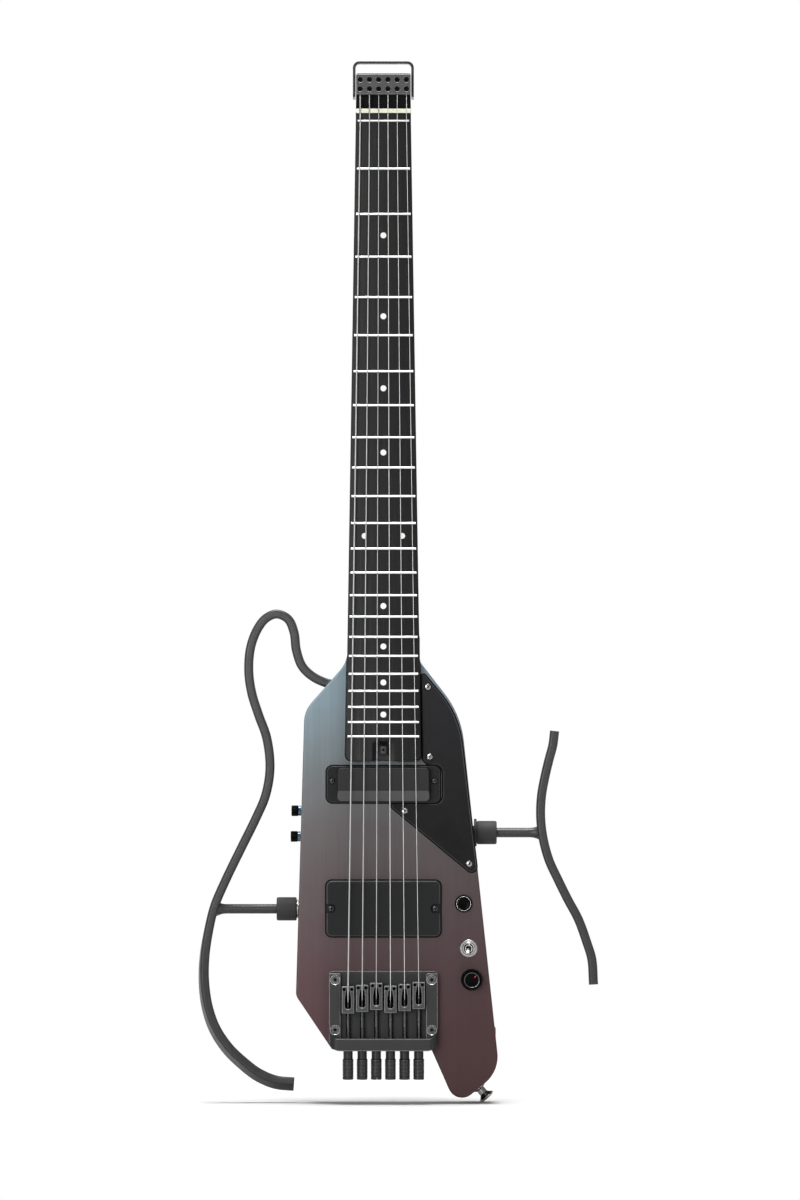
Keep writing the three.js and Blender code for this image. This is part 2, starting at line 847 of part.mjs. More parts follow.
function makeNut() {
  const half = boardHalfWidth(nutFace) * 2;
  const base = boardUnderside - headDeckThickness - seatGap;
  const middle = (base - nutHeight) / 2;
  let nut = box(half, nutHeight + base, nutThickness, 0, middle, nutFace + nutThickness / 2);
  for (let i = 0; i < stringCount; i++) {
    const { radius, nutX, nutY } = stringPlace(i);
    const width = (radius + nutGrooveClearance) * 2;
    const floor = nutY + radius + nutGrooveClearance;
    const depth = nutHeight + floor + overrun;
    const y = floor - depth / 2;
    const groove = box(width, depth, nutThickness + overrun, nutX, y, nutFace + nutThickness / 2);
    nut = nut.subtract(groove);
  }
  return nut;
}

function makeHeadBlock() {
  const back = boardUnderside - headDeckThickness - seatGap;
  const middle = blockBase + blockLength / 2;
  const plan = roundedShape(rectangle(0, middle, blockWidth, blockLength));
  let block = extrudeFront(plan, -blockFront, back, blockBevel);
  for (let i = 0; i < stringCount; i++) {
    const x = spread(i, stringCount, clampSpan);
    for (const side of [-1, 1]) {
      const z = middle + (side * clampRowPitch) / 2;
      const hole = bore(clampScrewDiameter, -blockFront - overrun, clampScrewDepth - blockFront);
      block = block.subtract(turnedY(hole, x, z));
    }
    const entry = bore(stringHoleDiameter, blockBase - overrun, blockBase + stringHoleDepth);
    block = block.subtract(turnedZ(entry, x, stringPlace(i).nutY));
  }
  return block;
}

function makeHeadBail() {
  const outer = bailWidth / 2;
  const inner = outer - bailThickness;
  const innerRadius = bailCornerRadius - bailThickness;
  const outline = roundedShape([
    [-outer, bailFoot],
    [-outer, bailTop, bailCornerRadius],
    [outer, bailTop, bailCornerRadius],
    [outer, bailFoot],
    [inner, bailFoot],
    [inner, bailTop - bailThickness, innerRadius],
    [-inner, bailTop - bailThickness, innerRadius],
    [-inner, bailFoot],
  ]);
  const front = bailMiddle - bailDepth / 2;
  const back = bailMiddle + bailDepth / 2;
  const strap = extrudeFront(outline, front, back);
  const side = roundedShape([
    [front, bailTop + overrun],
    [back, bailTop + overrun],
    [back, bailFoot, bailDepth / 2],
    [front, bailFoot, bailDepth / 2],
  ]);
  const screwHole = bore(bailScrewDiameter, -outer - overrun, outer + overrun);
  return strap
    .intersect(extrudeSide(side, -outer - overrun, outer + overrun))
    .subtract(turnedX(screwHole, bailMiddle, bailFoot + bailScrewHeight));
}

// Strings, from inside the head block over the nut and the zero fret to the saddle
function makeString(index) {
  const { radius, nutX, bridgeX, nutY, saddleFace } = stringPlace(index);
  const lipY = -bridgeStringHeight;
  const anchorY = -(saddleTop - saddleSlotDepth + bassStringDiameter);
  const stations = [
    [nutX, nutY, blockBase + stringHoleDepth - fitGap * 2],
    [nutX, nutY, 0],
    [bridgeX, lipY, saddleFace - saddleLipLength],
    [bridgeX, anchorY, saddleFace - stringAnchorLength],
  ];
  return loft(
    stations.map(([x, y, z]) => {
      const ring = [];
      for (let i = 0; i < stringSides; i++) {
        const angle = (2 * Math.PI * i) / stringSides;
        ring.push(new THREE.Vector3(x + radius * Math.cos(angle), y + radius * Math.sin(angle), z));
      }
      return ring;
    }),
  );
}

// Body with its pockets, cavities and holes
function makeBody() {
  const slab = extrudeFront(new THREE.Shape(bodyOutline), 0, bodyThickness, bodyBevel);
  const bottom = bodyTop - bodyLength * 2;
  const side = roundedShape([
    [-overrun, bottom],
    [bodyThickness + weldTolerance, bottom],
    [bodyThickness + weldTolerance, bodyTop + weldTolerance, heelRoundRadius],
    [-overrun, bodyTop + weldTolerance],
  ]);
  let body = slab.intersect(extrudeSide(side, -bodyWidth, bodyWidth));
  const cut = (piece) => {
    body = body.subtract(piece);
  };
  cut(extrudeFront(roundedShape(heelCorners(neckPocketGap, bodyTop + overrun)), -overrun, heelDepth));
  const neckWell = rectangle(
    0,
    neckPickupMiddle,
    neckCoverWidth + fitGap * 2,
    neckCoverLength + fitGap * 2,
    neckCoverRadius,
  );
  cut(extrudeFront(roundedShape(neckWell), -overrun, neckCoverDepth + fitGap));
  const bridgeWell = rectangle(
    0,
    bridgePickupMiddle,
    pickupBodyWidth + fitGap * 2,
    bridgePickupBodyLength + fitGap * 2,
    bridgePickupRadius,
  );
  cut(extrudeFront(roundedShape(bridgeWell), -overrun, bridgePickupDepth + fitGap));
  const cover = coverCorners();
  cut(extrudeFront(roundedShape(insetCorners(cover, coverRim)), controlWall, bodyThickness + overrun));
  const rebate = bodyThickness - coverThickness - seatGap;
  cut(extrudeFront(roundedShape(insetCorners(cover, -fitGap)), rebate, bodyThickness + overrun));
  controlHoles().forEach(cut);
  edgeHoles().forEach(cut);
  return body;
}

function controlHoles() {
  const through = (diameter, { x, z }) =>
    turnedY(bore(diameter + fitGap * 2, -overrun, controlWall + overrun), x, z);
  const holes = [
    through(bezelBarrelDiameter, onBody(modeButtonShares)),
    through(toggleBushDiameter, onBody(toggleShares)),
    through(potBushDiameter, besideEdge(volumeInset, volumeShare)),
  ];
  for (const { x, z } of neckScrewPlaces()) {
    const sink = bodyThickness - neckScrewSink - neckScrewHeadThickness;
    const head = bore(neckScrewHeadDiameter + fitGap * 2, sink, bodyThickness + overrun);
    holes.push(turnedY(head, x, z));
    holes.push(turnedY(bore(neckScrewDiameter + fitGap * 2, heelDepth - overrun, sink + fitGap), x, z));
  }
  const strapZ = onBody([0, backStrapShare]).z;
  const strapHole = bore(
    strapScrewDiameter + fitGap * 2,
    bodyThickness - strapScrewLength - fitGap,
    bodyThickness + overrun,
  );
  holes.push(turnedY(strapHole, 0, strapZ));
  return holes;
}

function edgeHoles() {
  const holes = [];
  for (const share of [upperSideKnobShare, lowerSideKnobShare]) {
    const { z } = onBody([0, share]);
    const edge = bodyEdge(z, -1);
    const well = bore(sidePotDiameter + fitGap * 2, edge - overrun, edge + sidePotLength + fitGap * 2);
    holes.push(turnedX(well, armPlane, z));
  }
  const left = onBody([0, leftStrutShare]).z;
  const right = onBody([0, rightStrutShare]).z;
  const depth = socketLength + fitGap * 2;
  const socketHole = socketDiameter + fitGap * 2;
  const leftEdge = bodyEdge(left, -1);
  const rightEdge = bodyEdge(right, 1);
  holes.push(turnedX(bore(socketHole, leftEdge - overrun, leftEdge + depth), armPlane, left));
  holes.push(turnedX(bore(socketHole, rightEdge - depth, rightEdge + overrun), armPlane, right));
  const jackZ = onBody([0, jackShare]).z;
  const jackEdge = bodyEdge(jackZ, 1);
  const jackHole = bore(jackDiameter + fitGap * 2, jackEdge - jackLength, jackEdge + overrun);
  holes.push(turnedX(jackHole, armPlane, jackZ));
  holes.push(spotFace(socketFlangeDiameter, left, -1));
  holes.push(spotFace(rightFlangeDiameter, right, 1));
  holes.push(spotFace(jackFlangeDiameter, jackZ, 1));
  holes.push(lowerStrapScrewHole());
  holes.push(armPlugHole());
  return holes;
}

// A flat seat for a round flange on the sloping edge of the body
function spotFace(diameter, z, side) {
  const edge = bodyEdge(z, side);
  const radius = diameter / 2 + fitGap * 2;
  return turnedX(column(radius, edge, edge + side * overrun), armPlane, z);
}

// The inner corners follow the edge of the fingerboard and go round the neck pickup's ring
function pickguardCorners() {
  const top = onBody([0, pickguardTopShare]).z;
  const high = neckPickupMiddle + ringLength / 2 + pickguardGap;
  const low = neckPickupMiddle - ringLength / 2 - pickguardGap;
  const besideRing = ringWidth / 2 + pickguardRingGap;
  return [
    [boardHalfWidth(top) + pickguardGap, top, pickguardPointRadius],
    [boardHalfWidth(high) + pickguardGap, high, pickguardNotchRadius],
    [besideRing, high, pickguardNotchRadius],
    [besideRing, low, pickguardNotchRadius],
    [bodyWidth * pickguardPointShare, low, pickguardPointRadius],
    ...placedCorners(pickguardOuterShares),
  ];
}

function makePickguard() {
  const shape = roundedShape(pickguardCorners());
  return extrudeFront(shape, -pickguardThickness - seatGap, -seatGap);
}

// Pickups
function makeNeckPickupRing() {
  const z = neckPickupMiddle;
  const shape = roundedShape(rectangle(0, z, ringWidth, ringLength, ringRadius));
  const window = rectangle(0, z, neckCoverWidth + fitGap * 2, neckCoverLength + fitGap * 2, neckCoverRadius);
  const hole = extrudeFront(roundedShape(window), -ringThickness - overrun, overrun);
  return extrudeFront(shape, -ringThickness - seatGap, -seatGap).subtract(hole);
}

function makeNeckPickupCover() {
  const z = neckPickupMiddle;
  const low = z - neckCoverLength / 2;
  const shape = roundedShape(rectangle(0, z, neckCoverWidth, neckCoverLength, neckCoverRadius));
  const block = extrudeFront(shape, -neckCoverHeight, neckCoverDepth, bodyBevel / 2);
  const slope = new THREE.Shape([
    new THREE.Vector2(-neckCoverHeight, low + neckCoverBandLength),
    new THREE.Vector2(-neckCoverHeight - overrun, low + neckCoverBandLength),
    new THREE.Vector2(-neckCoverHeight - overrun, low - overrun),
    new THREE.Vector2(neckCoverBandDrop - neckCoverHeight, low - overrun),
  ]);
  return block.subtract(extrudeSide(slope, -neckCoverWidth, neckCoverWidth));
}

function makeBridgePickupCover() {
  const z = bridgePickupMiddle;
  const plan = rectangle(0, z, bridgePickupWidth, bridgePickupLength, bridgePickupRadius);
  const top = extrudeFront(roundedShape(plan), -bridgePickupHeight, -seatGap, bridgePickupBevel);
  const coil = rectangle(0, z, pickupBodyWidth, bridgePickupBodyLength, bridgePickupRadius);
  let cover = top.add(extrudeFront(roundedShape(coil), -bridgePickupBevel * 2, bridgePickupDepth));
  for (const side of [-1, 1]) {
    const x = side * (bridgePickupWidth / 2 - bridgePickupNotchInset);
    const notch = bore(bridgePickupNotchDiameter, -bridgePickupHeight - overrun, -bridgePickupLedge);
    cover = cover.subtract(turnedY(notch, x, z));
  }
  return cover;
}

// Bridge base: a tray with two rails and a thick rear wall that the tuner screws pass through
function makeBridgeBase() {
  const half = bridgeWidth / 2;
  const middle = (bridgeFrontEdge + bridgeRearEdge) / 2;
  const plan = [
    [-half, bridgeFrontEdge, bridgeFrontRadius],
    [half, bridgeFrontEdge, bridgeFrontRadius],
    [half, bridgeRearEdge, bridgeRearRadius],
    [-half, bridgeRearEdge, bridgeRearRadius],
  ];
  let base = extrudeFront(roundedShape(plan), -bridgeFloor, -seatGap);
  const wallFace = bridgeRearEdge + bridgeWallThickness;
  const wallPlan = [
    [-half, wallFace + bridgeWallReturn],
    [-half + bridgeWallReturn / 2, wallFace, bridgeWallReturn],
    [half - bridgeWallReturn / 2, wallFace, bridgeWallReturn],
    [half, wallFace + bridgeWallReturn],
    [half, bridgeRearEdge, bridgeRearRadius],
    [-half, bridgeRearEdge, bridgeRearRadius],
  ];
  const sunk = bridgeFloor / 2;
  base = base.add(extrudeFront(roundedShape(wallPlan), -bridgeWallHeight, -sunk, bridgeWallBevel));
  const railLength = bridgeLength - bridgeRailInset - bridgeRearRadius;
  for (const side of [-1, 1]) {
    const x = side * (half - bridgeRailWidth / 2);
    const z = bridgeFrontEdge - bridgeRailInset - railLength / 2;
    const rail = rectangle(x, z, bridgeRailWidth, railLength, bridgeFrontRadius / 2);
    base = base.add(extrudeFront(roundedShape(rail), -bridgeRailHeight, -sunk));
    for (const end of [-1, 1]) {
      const recess = bore(
        bridgeScrewRecess,
        -bridgeWallHeight - overrun,
        bridgeScrewRecessDepth - bridgeRailHeight,
      );
      const screwZ = middle + bridgeWallThickness / 2 + (end * bridgeScrewPitch) / 2;
      base = base.subtract(turnedY(recess, side * (half - bridgeScrewInset), screwZ));
    }
  }
  for (let i = 0; i < stringCount; i++) {
    const holeEnd = wallFace + bridgeWallReturn;
    const hole = bore(screwRodDiameter + runGap * 2, bridgeRearEdge - overrun, holeEnd);
    base = base.subtract(turnedZ(hole, stringPlace(i).bridgeX, -screwAxisHeight));
  }
  return base;
}

// A saddle: a block on its screw, with a teardrop string slot and two height-screw holes
function makeSaddle(index) {
  const { bridgeX: x, saddleFace: face } = stringPlace(index);
  const plan = rectangle(x, face - saddleLength / 2, saddleWidth, saddleLength);
  let saddle = extrudeFront(roundedShape(plan), -saddleTop, -saddleBase, saddleBevel);
  const slotEnd = face - saddleSlotLength;
  const wellStart = face - saddleHoleInset;
  const lip = roundedShape(rectangle(x, face, saddleSlotMouth, saddleHoleInset * 2 + overrun));
  const well = roundedShape([
    [x - saddleSlotMouth / 2, wellStart],
    [x - saddleSlotWidth / 2, face - saddleSlotFlare],
    [x - saddleSlotWidth / 2, slotEnd, saddleSlotWidth / 2],
    [x + saddleSlotWidth / 2, slotEnd, saddleSlotWidth / 2],
    [x + saddleSlotWidth / 2, face - saddleSlotFlare],
    [x + saddleSlotMouth / 2, wellStart],
  ]);
  const lipFloor = bassStringDiameter / 2 - saddleTop;
  saddle = saddle.subtract(extrudeFront(lip, -saddleTop - overrun, lipFloor));
  saddle = saddle.subtract(extrudeFront(well, -saddleTop - overrun, saddleSlotDepth - saddleTop));
  for (const side of [-1, 1]) {
    const hole = bore(saddleHoleDiameter, -saddleTop - overrun, saddleHoleDepth - saddleTop);
    saddle = saddle.subtract(turnedY(hole, x + (side * saddleHoleSpread) / 2, face - saddleHoleInset));
  }
  const thread = bore(screwRodDiameter + runGap * 2, face - saddleLength - overrun, face + overrun);
  return saddle.subtract(turnedZ(thread, x, -screwAxisHeight));
}

// A tuner screw: threaded rod, shank and ribbed barrel, slotted for a driver
function makeTunerScrew(index) {
  const x = stringPlace(index).bridgeX;
  const shankStart = bridgeRearEdge - seatGap;
  const barrelStart = shankStart - shankLength;
  const barrelEnd = barrelStart - barrelLength;
  const radius = barrelDiameter / 2;
  const profile = [
    [0, bridgeRearEdge + screwRodLength],
    [screwRodDiameter / 2, bridgeRearEdge + screwRodLength],
    [screwRodDiameter / 2, shankStart],
    [shankDiameter / 2, shankStart],
    [shankDiameter / 2, barrelStart + barrelChamfer],
    [radius - ribDepth, barrelStart],
  ];
  const pitch = (barrelLength - barrelChamfer) / ribCount;
  for (let i = 0; i < ribCount; i++) {
    const ribStart = barrelStart - pitch * i;
    const land = (pitch * ribLandShare) / 2;
    const middle = ribStart - pitch / 2;
    profile.push([radius, middle + land], [radius, middle - land], [radius - ribDepth, ribStart - pitch]);
  }
  profile.push([radius - barrelChamfer, barrelEnd], [0, barrelEnd]);
  const turned = turnedZ(profile, x, -screwAxisHeight);
  const slot = box(
    driverSlotWidth,
    barrelDiameter * 2,
    driverSlotDepth * 2,
    x,
    -screwAxisHeight,
    barrelEnd,
  );
  return turned.subtract(slot);
}

// Front controls
function makeModeBezel() {
  const { x, z } = onBody(modeButtonShares);
  const inner = buttonDiameter / 2 + runGap;
  return turnedY(
    [
      [inner, -bezelHeight],
      [bezelDiameter / 2 - bezelHeight / 2, -bezelHeight],
      [bezelDiameter / 2, -seatGap - bezelHeight / 2],
      [bezelDiameter / 2, -seatGap],
      [bezelBarrelDiameter / 2, -seatGap],
      [bezelBarrelDiameter / 2, bezelBarrelLength],
      [inner, bezelBarrelLength],
      [inner, -bezelHeight],
    ],
    x,
    z,
  );
}

function makeModeButton() {
  const { x, z } = onBody(modeButtonShares);
  const radius = buttonDiameter / 2;
  return turnedY(
    [
      [0, -buttonHeight],
      [radius - bodyBevel / 2, -buttonHeight],
      [radius, -buttonHeight + bodyBevel / 2],
      [radius, buttonLength - buttonHeight],
      [buttonStemDiameter / 2, buttonLength - buttonHeight],
      [buttonStemDiameter / 2, bezelBarrelLength + buttonStemLength / 2],
      [0, bezelBarrelLength + buttonStemLength / 2],
    ],
    x,
    z,
  );
}

function makeModeSwitch() {
  const { x, z } = onBody(modeButtonShares);
  const top = bezelBarrelLength + seatGap;
  const housing = box(switchWidth, switchDepth, switchWidth, x, top + switchDepth / 2, z);
  const wellDepth = buttonStemLength / 2 + buttonTravel + fitGap;
  const well = bore(buttonStemDiameter + runGap * 2, top - overrun, bezelBarrelLength + wellDepth);
  return housing.subtract(turnedY(well, x, z));
}

function makeToggleBushing() {
  const { x, z } = onBody(toggleShares);
  const innerRadius = toggleBoreDiameter / 2;
  const shell = turnedY(
    [
      [innerRadius, -toggleBushHeight],
      [toggleBushDiameter / 2, -toggleBushHeight],
      [toggleBushDiameter / 2, -toggleNutHeight],
      [toggleNutDiameter / 2, -toggleNutHeight],
      [toggleNutDiameter / 2, -toggleWasherHeight],
      [toggleWasherDiameter / 2, -toggleWasherHeight],
      [toggleWasherDiameter / 2, -seatGap],
      [toggleBushDiameter / 2, -seatGap],
      [toggleBushDiameter / 2, controlWall + 2 * seatGap],
      [0, controlWall + 2 * seatGap],
      [0, toggleBoreDepth],
      [innerRadius, toggleBoreDepth],
      [innerRadius, -toggleBushHeight],
    ],
    x,
    z,
  );
  const housingY = controlWall + seatGap + toggleHousingDepth / 2;
  const housing = box(toggleHousingWidth, toggleHousingDepth, toggleHousingLength, x, housingY, z);
  return shell.add(housing);
}

// The bat lever, made upright on its ball, then tilted towards the lower throw
function makeToggleLever() {
  const { x, z } = onBody(toggleShares);
  const ball = solid(new THREE.SphereGeometry(toggleBallDiameter / 2, toggleBallSides, toggleBallRows));
  const bat = turnedY(
    [
      [0, -leverLength],
      [leverTipDiameter / 3, -leverLength],
      [leverTipDiameter / 2, -leverLength + leverTipDiameter / 3],
      [leverNeckDiameter / 2, 0],
      [0, 0],
    ],
    0,
    0,
    leverSides,
  );
  return ball
    .add(bat)
    .rotate([THREE.MathUtils.radToDeg(leverTilt), 0, 0])
    .rotate([0, -THREE.MathUtils.radToDeg(leverPlaneAngle), 0])
    .translate([x, -togglePivotHeight, z]);
}

function makeVolumeKnob() {
  const { x, z } = besideEdge(volumeInset, volumeShare);
  const skirtTop = -knobLift - knobSkirtHeight;
  const top = -knobLift - knobHeight;
  return turnedY(
    [
      [0, top + knobEdge / 2],
      [knobTopDiameter / 2 - knobEdge, top + knobEdge / 2],
      [knobTopDiameter / 2 - knobEdge / 2, top],
      [knobTopDiameter / 2, top + knobEdge / 2],
      [knobCapDiameter / 2, skirtTop],
      [knobSkirtDiameter / 2, skirtTop + knobEdge],
      [knobSkirtDiameter / 2, -knobLift],
      [shaftDiameter / 2, -knobLift],
      [shaftDiameter / 2, shaftReach],
      [0, shaftReach],
    ],
    x,
    z,
  );
}

function makeVolumePot() {
  const { x, z } = besideEdge(volumeInset, volumeShare);
  const innerRadius = (shaftDiameter / 2 + runGap) / Math.cos(Math.PI / sidesFor(potBodyDiameter / 2));
  const bodyStart = controlWall + seatGap;
  return turnedY(
    [
      [innerRadius, -seatGap - potNutHeight],
      [potNutDiameter / 2, -seatGap - potNutHeight],
      [potNutDiameter / 2, -seatGap],
      [potBushDiameter / 2, -seatGap],
      [potBushDiameter / 2, bodyStart],
      [potBodyDiameter / 2, bodyStart],
      [potBodyDiameter / 2, bodyStart + potBodyDepth],
      [0, bodyStart + potBodyDepth],
      [0, shaftReach + fitGap],
      [innerRadius, shaftReach + fitGap],
      [innerRadius, -seatGap - potNutHeight],
    ],
    x,
    z,
  );
}

// Side controls, along X from the left edge
function makeSideKnob(share) {
  const { z } = onBody([0, share]);
  const edge = bodyEdge(z, -1);
  const inner = edge - sideKnobLift;
  const outer = inner - sideKnobLength;
  return turnedX(
    [
      [0, outer],
      [sideKnobDiameter / 2 - sideKnobEdge, outer],
      [sideKnobDiameter / 2, outer + sideKnobEdge],
      [sideKnobDiameter / 2, inner],
      [sideShaftDiameter / 2, inner],
      [sideShaftDiameter / 2, edge + sideShaftReach],
      [0, edge + sideShaftReach],
    ],
    armPlane,
    z,
  );
}

function makeSidePot(share) {
  const { z } = onBody([0, share]);
  const edge = bodyEdge(z, -1);
  const radius = sidePotDiameter / 2;
  const innerRadius = (sideShaftDiameter / 2 + runGap) / Math.cos(Math.PI / sidesFor(radius));
  return turnedX(
    [
      [innerRadius, edge],
      [radius, edge],
      [radius, edge + sidePotLength],
      [0, edge + sidePotLength],
      [0, edge + sideShaftReach + fitGap],
      [innerRadius, edge + sideShaftReach + fitGap],
      [innerRadius, edge],
    ],
    armPlane,
    z,
  );
}

function coverCorners() {
  const top = besideEdge(coverWall, coverTopShare);
  const low = besideEdge(coverWall, coverLowShare);
  return [
    [top.x - coverTopWidth, top.z, coverRadius],
    [top.x, top.z, coverRadius],
    [low.x, low.z, coverRadius],
    [low.x - coverLowWidth, low.z, coverRadius],
  ];
}

// The rear cover, with two posts that carry the circuit board
function makeControlCover() {
  const shape = roundedShape(coverCorners());
  const front = bodyThickness - coverThickness;
  let cover = extrudeFront(shape, front, bodyThickness);
  const x = besideEdge(circuitInset, circuitShare).x - circuitWidth / 2 + coverPostInset;
  for (const share of coverPostShares) {
    const { z } = onBody([0, share]);
    const post = column(coverPostDiameter / 2, circuitDepth + circuitThickness + seatGap, front + seatGap);
    cover = cover.add(turnedY(post, x, z));
  }
  return cover;
}

function makeCircuitBoard() {
  const { x, z } = besideEdge(circuitInset, circuitShare);
  return box(circuitWidth, circuitThickness, circuitLength, x, circuitDepth + circuitThickness / 2, z);
}

function makeBattery() {
  const { x, z } = besideEdge(batteryInset, batteryShare);
  const y = controlWall + seatGap + batteryThickness / 2;
  return box(batteryWidth, batteryThickness, batteryLength, x, y, z);
}

function makeOutputJack() {
  const { z } = onBody([0, jackShare]);
  const edge = bodyEdge(z, 1);
  const face = edge + fitGap + jackFlangeThickness;
  const innerRadius = jackBoreDiameter / 2;
  return turnedX(
    [
      [innerRadius, face],
      [jackFlangeDiameter / 2, face],
      [jackFlangeDiameter / 2, edge + fitGap],
      [jackDiameter / 2, edge + fitGap],
      [jackDiameter / 2, edge - jackLength],
      [0, edge - jackLength],
      [0, face - jackBoreDepth],
      [innerRadius, face - jackBoreDepth],
      [innerRadius, face],
    ],
    armPlane,
    z,
    jackSides,
  );
}

// Strap buttons: a screw, a flared neck and a flat head
function strapProfile() {
  return [
    [0, -strapScrewLength],
    [strapScrewDiameter / 2, -strapScrewLength],
    [strapScrewDiameter / 2, 0],
    [strapFootDiameter / 2, 0],
    [strapFootDiameter / 2, strapFlare / 2],
    [strapNeckDiameter / 2, strapFlare * 2],
    [strapNeckDiameter / 2, strapHeight - strapHeadThickness - strapFlare],
    [strapHeadDiameter / 2, strapHeight - strapHeadThickness],
    [strapHeadDiameter / 2, strapHeight - strapFlare / 2],
    [strapHeadDiameter / 2 - strapFlare, strapHeight],
    [0, strapHeight],
  ];
}

// The lower button stands square on the horn's straight end, so it is turned from +X
function lowerStrapPlace() {
  const [low, high] = placedCorners(bodyCornerShares).slice(hornCorner, hornCorner + 2);
  const x = THREE.MathUtils.lerp(low[0], high[0], lowerStrapShare);
  const z = THREE.MathUtils.lerp(low[1], high[1], lowerStrapShare);
  const slope = Math.atan2(high[1] - low[1], high[0] - low[0]);
  const turn = halfTurn / 2 - THREE.MathUtils.radToDeg(slope);
  return (piece) => piece.rotate([0, turn, 0]).translate([x, armPlane, z]);
}

function makeLowerStrapButton() {
  const lifted = strapProfile().map(([radius, along]) => [radius, along + fitGap]);
  return lowerStrapPlace()(turnedX(lifted, 0, 0, strapSides));
}

function lowerStrapScrewHole() {
  const hole = bore(strapScrewDiameter + fitGap * 2, -strapScrewLength - fitGap, overrun);
  return lowerStrapPlace()(turnedX(hole, 0, 0));
}

function makeBackStrapButton() {
  const { z } = onBody([0, backStrapShare]);
  const lifted = strapProfile().map(([radius, along]) => [radius, along + bodyThickness + seatGap]);
  return turnedY(lifted, 0, z, strapSides);
}

function makeNeckScrew({ x, z }) {
  const top = bodyThickness - neckScrewSink;
  const underHead = top - neckScrewHeadThickness + seatGap;
  return turnedY(
    [
      [0, heelDepth - neckScrewReach],
      [neckScrewDiameter / 2, heelDepth - neckScrewReach],
      [neckScrewDiameter / 2, underHead],
      [neckScrewHeadDiameter / 2, underHead],
      [neckScrewHeadDiameter / 2, top - neckScrewHeadThickness / 3],
      [neckScrewHeadDiameter / 3, top],
      [0, top],
    ],
    x,
    z,
  );
}

// Support arms: a flat bar swept along its route, with its broad side towards the player
function barRings(routeShares, reach, top, height, steps, twistAt, scaleAt) {
  const route = routeShares.map(
    ([xShare, zShare]) => new THREE.Vector3(xShare * reach, 0, -top - zShare * height),
  );
  const curve = new THREE.CatmullRomCurve3(route, false, "centripetal");
  const corners = rectangle(0, 0, barThickness, barDepth, barThickness * barCornerShare);
  const section = roundedPoints(corners, barCornerStep);
  const rings = [];
  for (let i = 0; i <= steps; i++) {
    const share = i / steps;
    const centre = curve.getPointAt(share);
    const tangent = curve.getTangentAt(share);
    const across = new THREE.Vector3(-tangent.z, 0, tangent.x);
    const outward = new THREE.Vector3(0, 1, 0);
    const twist = twistAt(centre);
    const scale = scaleAt(share);
    rings.push(
      section.map((point) => {
        const turned = point.clone().rotateAround(new THREE.Vector2(), twist).multiplyScalar(scale);
        return centre
          .clone()
          .addScaledVector(across, turned.x)
          .addScaledVector(outward, turned.y + armPlane);
      }),
    );
  }
  return rings;
}

function strutProfile(barX, bodyX, side) {
  const flareEnd = barX - side * strutFlareLength;
  return [
    [0, barX],
    [strutFlareDiameter / 2, barX],
    [strutDiameter / 2, flareEnd],
    [strutDiameter / 2, bodyX - side * strutReach],
    [0, bodyX - side * strutReach],
  ];
}

function routeXAt(routeShares, reach, top, height, z) {
  const share = (-z - top) / height;
  for (let i = 1; i < routeShares.length; i++) {
    const [x0, z0] = routeShares[i - 1];
    const [x1, z1] = routeShares[i];
    if ((z0 - share) * (z1 - share) > 0) continue;
    return (x0 + ((x1 - x0) * (share - z0)) / (z1 - z0)) * reach;
  }
  return reach;
}

function makeLeftArm() {
  const strutZ = onBody([0, leftStrutShare]).z;
  const twistAt = ({ z }) => {
    const below = THREE.MathUtils.clamp((strutZ - z) / (leftArmTop + leftArmHeight + strutZ), 0, 1);
    return leftArmLowerTwist * Math.sin((below * Math.PI) / 2);
  };
  const rings = barRings(
    leftArmRouteShares,
    leftArmReach,
    leftArmTop,
    leftArmHeight,
    leftArmSteps,
    twistAt,
    (share) => (share === 1 ? leftArmPlugTaper : 1),
  );
  const barX = routeXAt(leftArmRouteShares, leftArmReach, leftArmTop, leftArmHeight, strutZ);
  const strut = turnedX(strutProfile(barX, bodyEdge(strutZ, -1), -1), armPlane, strutZ);
  return loft(rings).add(strut);
}

function makeRightArm() {
  const strutZ = onBody([0, rightStrutShare]).z;
  const rings = barRings(
    rightArmRouteShares,
    rightArmReach,
    rightArmTop,
    rightArmHeight,
    rightArmSteps,
    () => 0,
    () => 1,
  );
  const barX = routeXAt(rightArmRouteShares, rightArmReach, rightArmTop, rightArmHeight, strutZ);
  const strut = turnedX(strutProfile(barX, bodyEdge(strutZ, 1), 1), armPlane, strutZ);
  return loft(rings).add(strut);
}

// The slot in the shoulder's edge that takes the upper end of the left arm
function armPlugHole() {
  const [xShare, zShare] = leftArmRouteShares.at(-1);
  const endX = xShare * leftArmReach + fitGap * 2;
  const z = -leftArmTop - zShare * leftArmHeight;
  const outer = bodyEdge(z - barThickness, -1) - overrun;
  const grow = fitGap * 2;
  const mouth = rectangle(armPlane, z, barDepth + grow * 2, barThickness + grow * 2, barThickness / 3);
  return extrudeSide(roundedShape(mouth), outer, endX);
}

function makeCollar(share, side, seat) {
  const { z } = onBody([0, share]);
  const edge = bodyEdge(z, side) + side * (seat + fitGap + seatGap);
  const radius = collarDiameter / 2;
  const innerRadius = (strutDiameter / 2 + runGap) / Math.cos(Math.PI / sidesFor(radius));
  const at = (distance) => edge + side * distance;
  return turnedX(
    [
      [innerRadius, at(0)],
      [radius - collarChamfer, at(0)],
      [radius, at(collarChamfer)],
      [radius, at(collarLength - collarChamfer)],
      [radius - collarChamfer, at(collarLength)],
      [innerRadius, at(collarLength)],
      [innerRadius, at(0)],
    ],
    armPlane,
    z,
  );
}

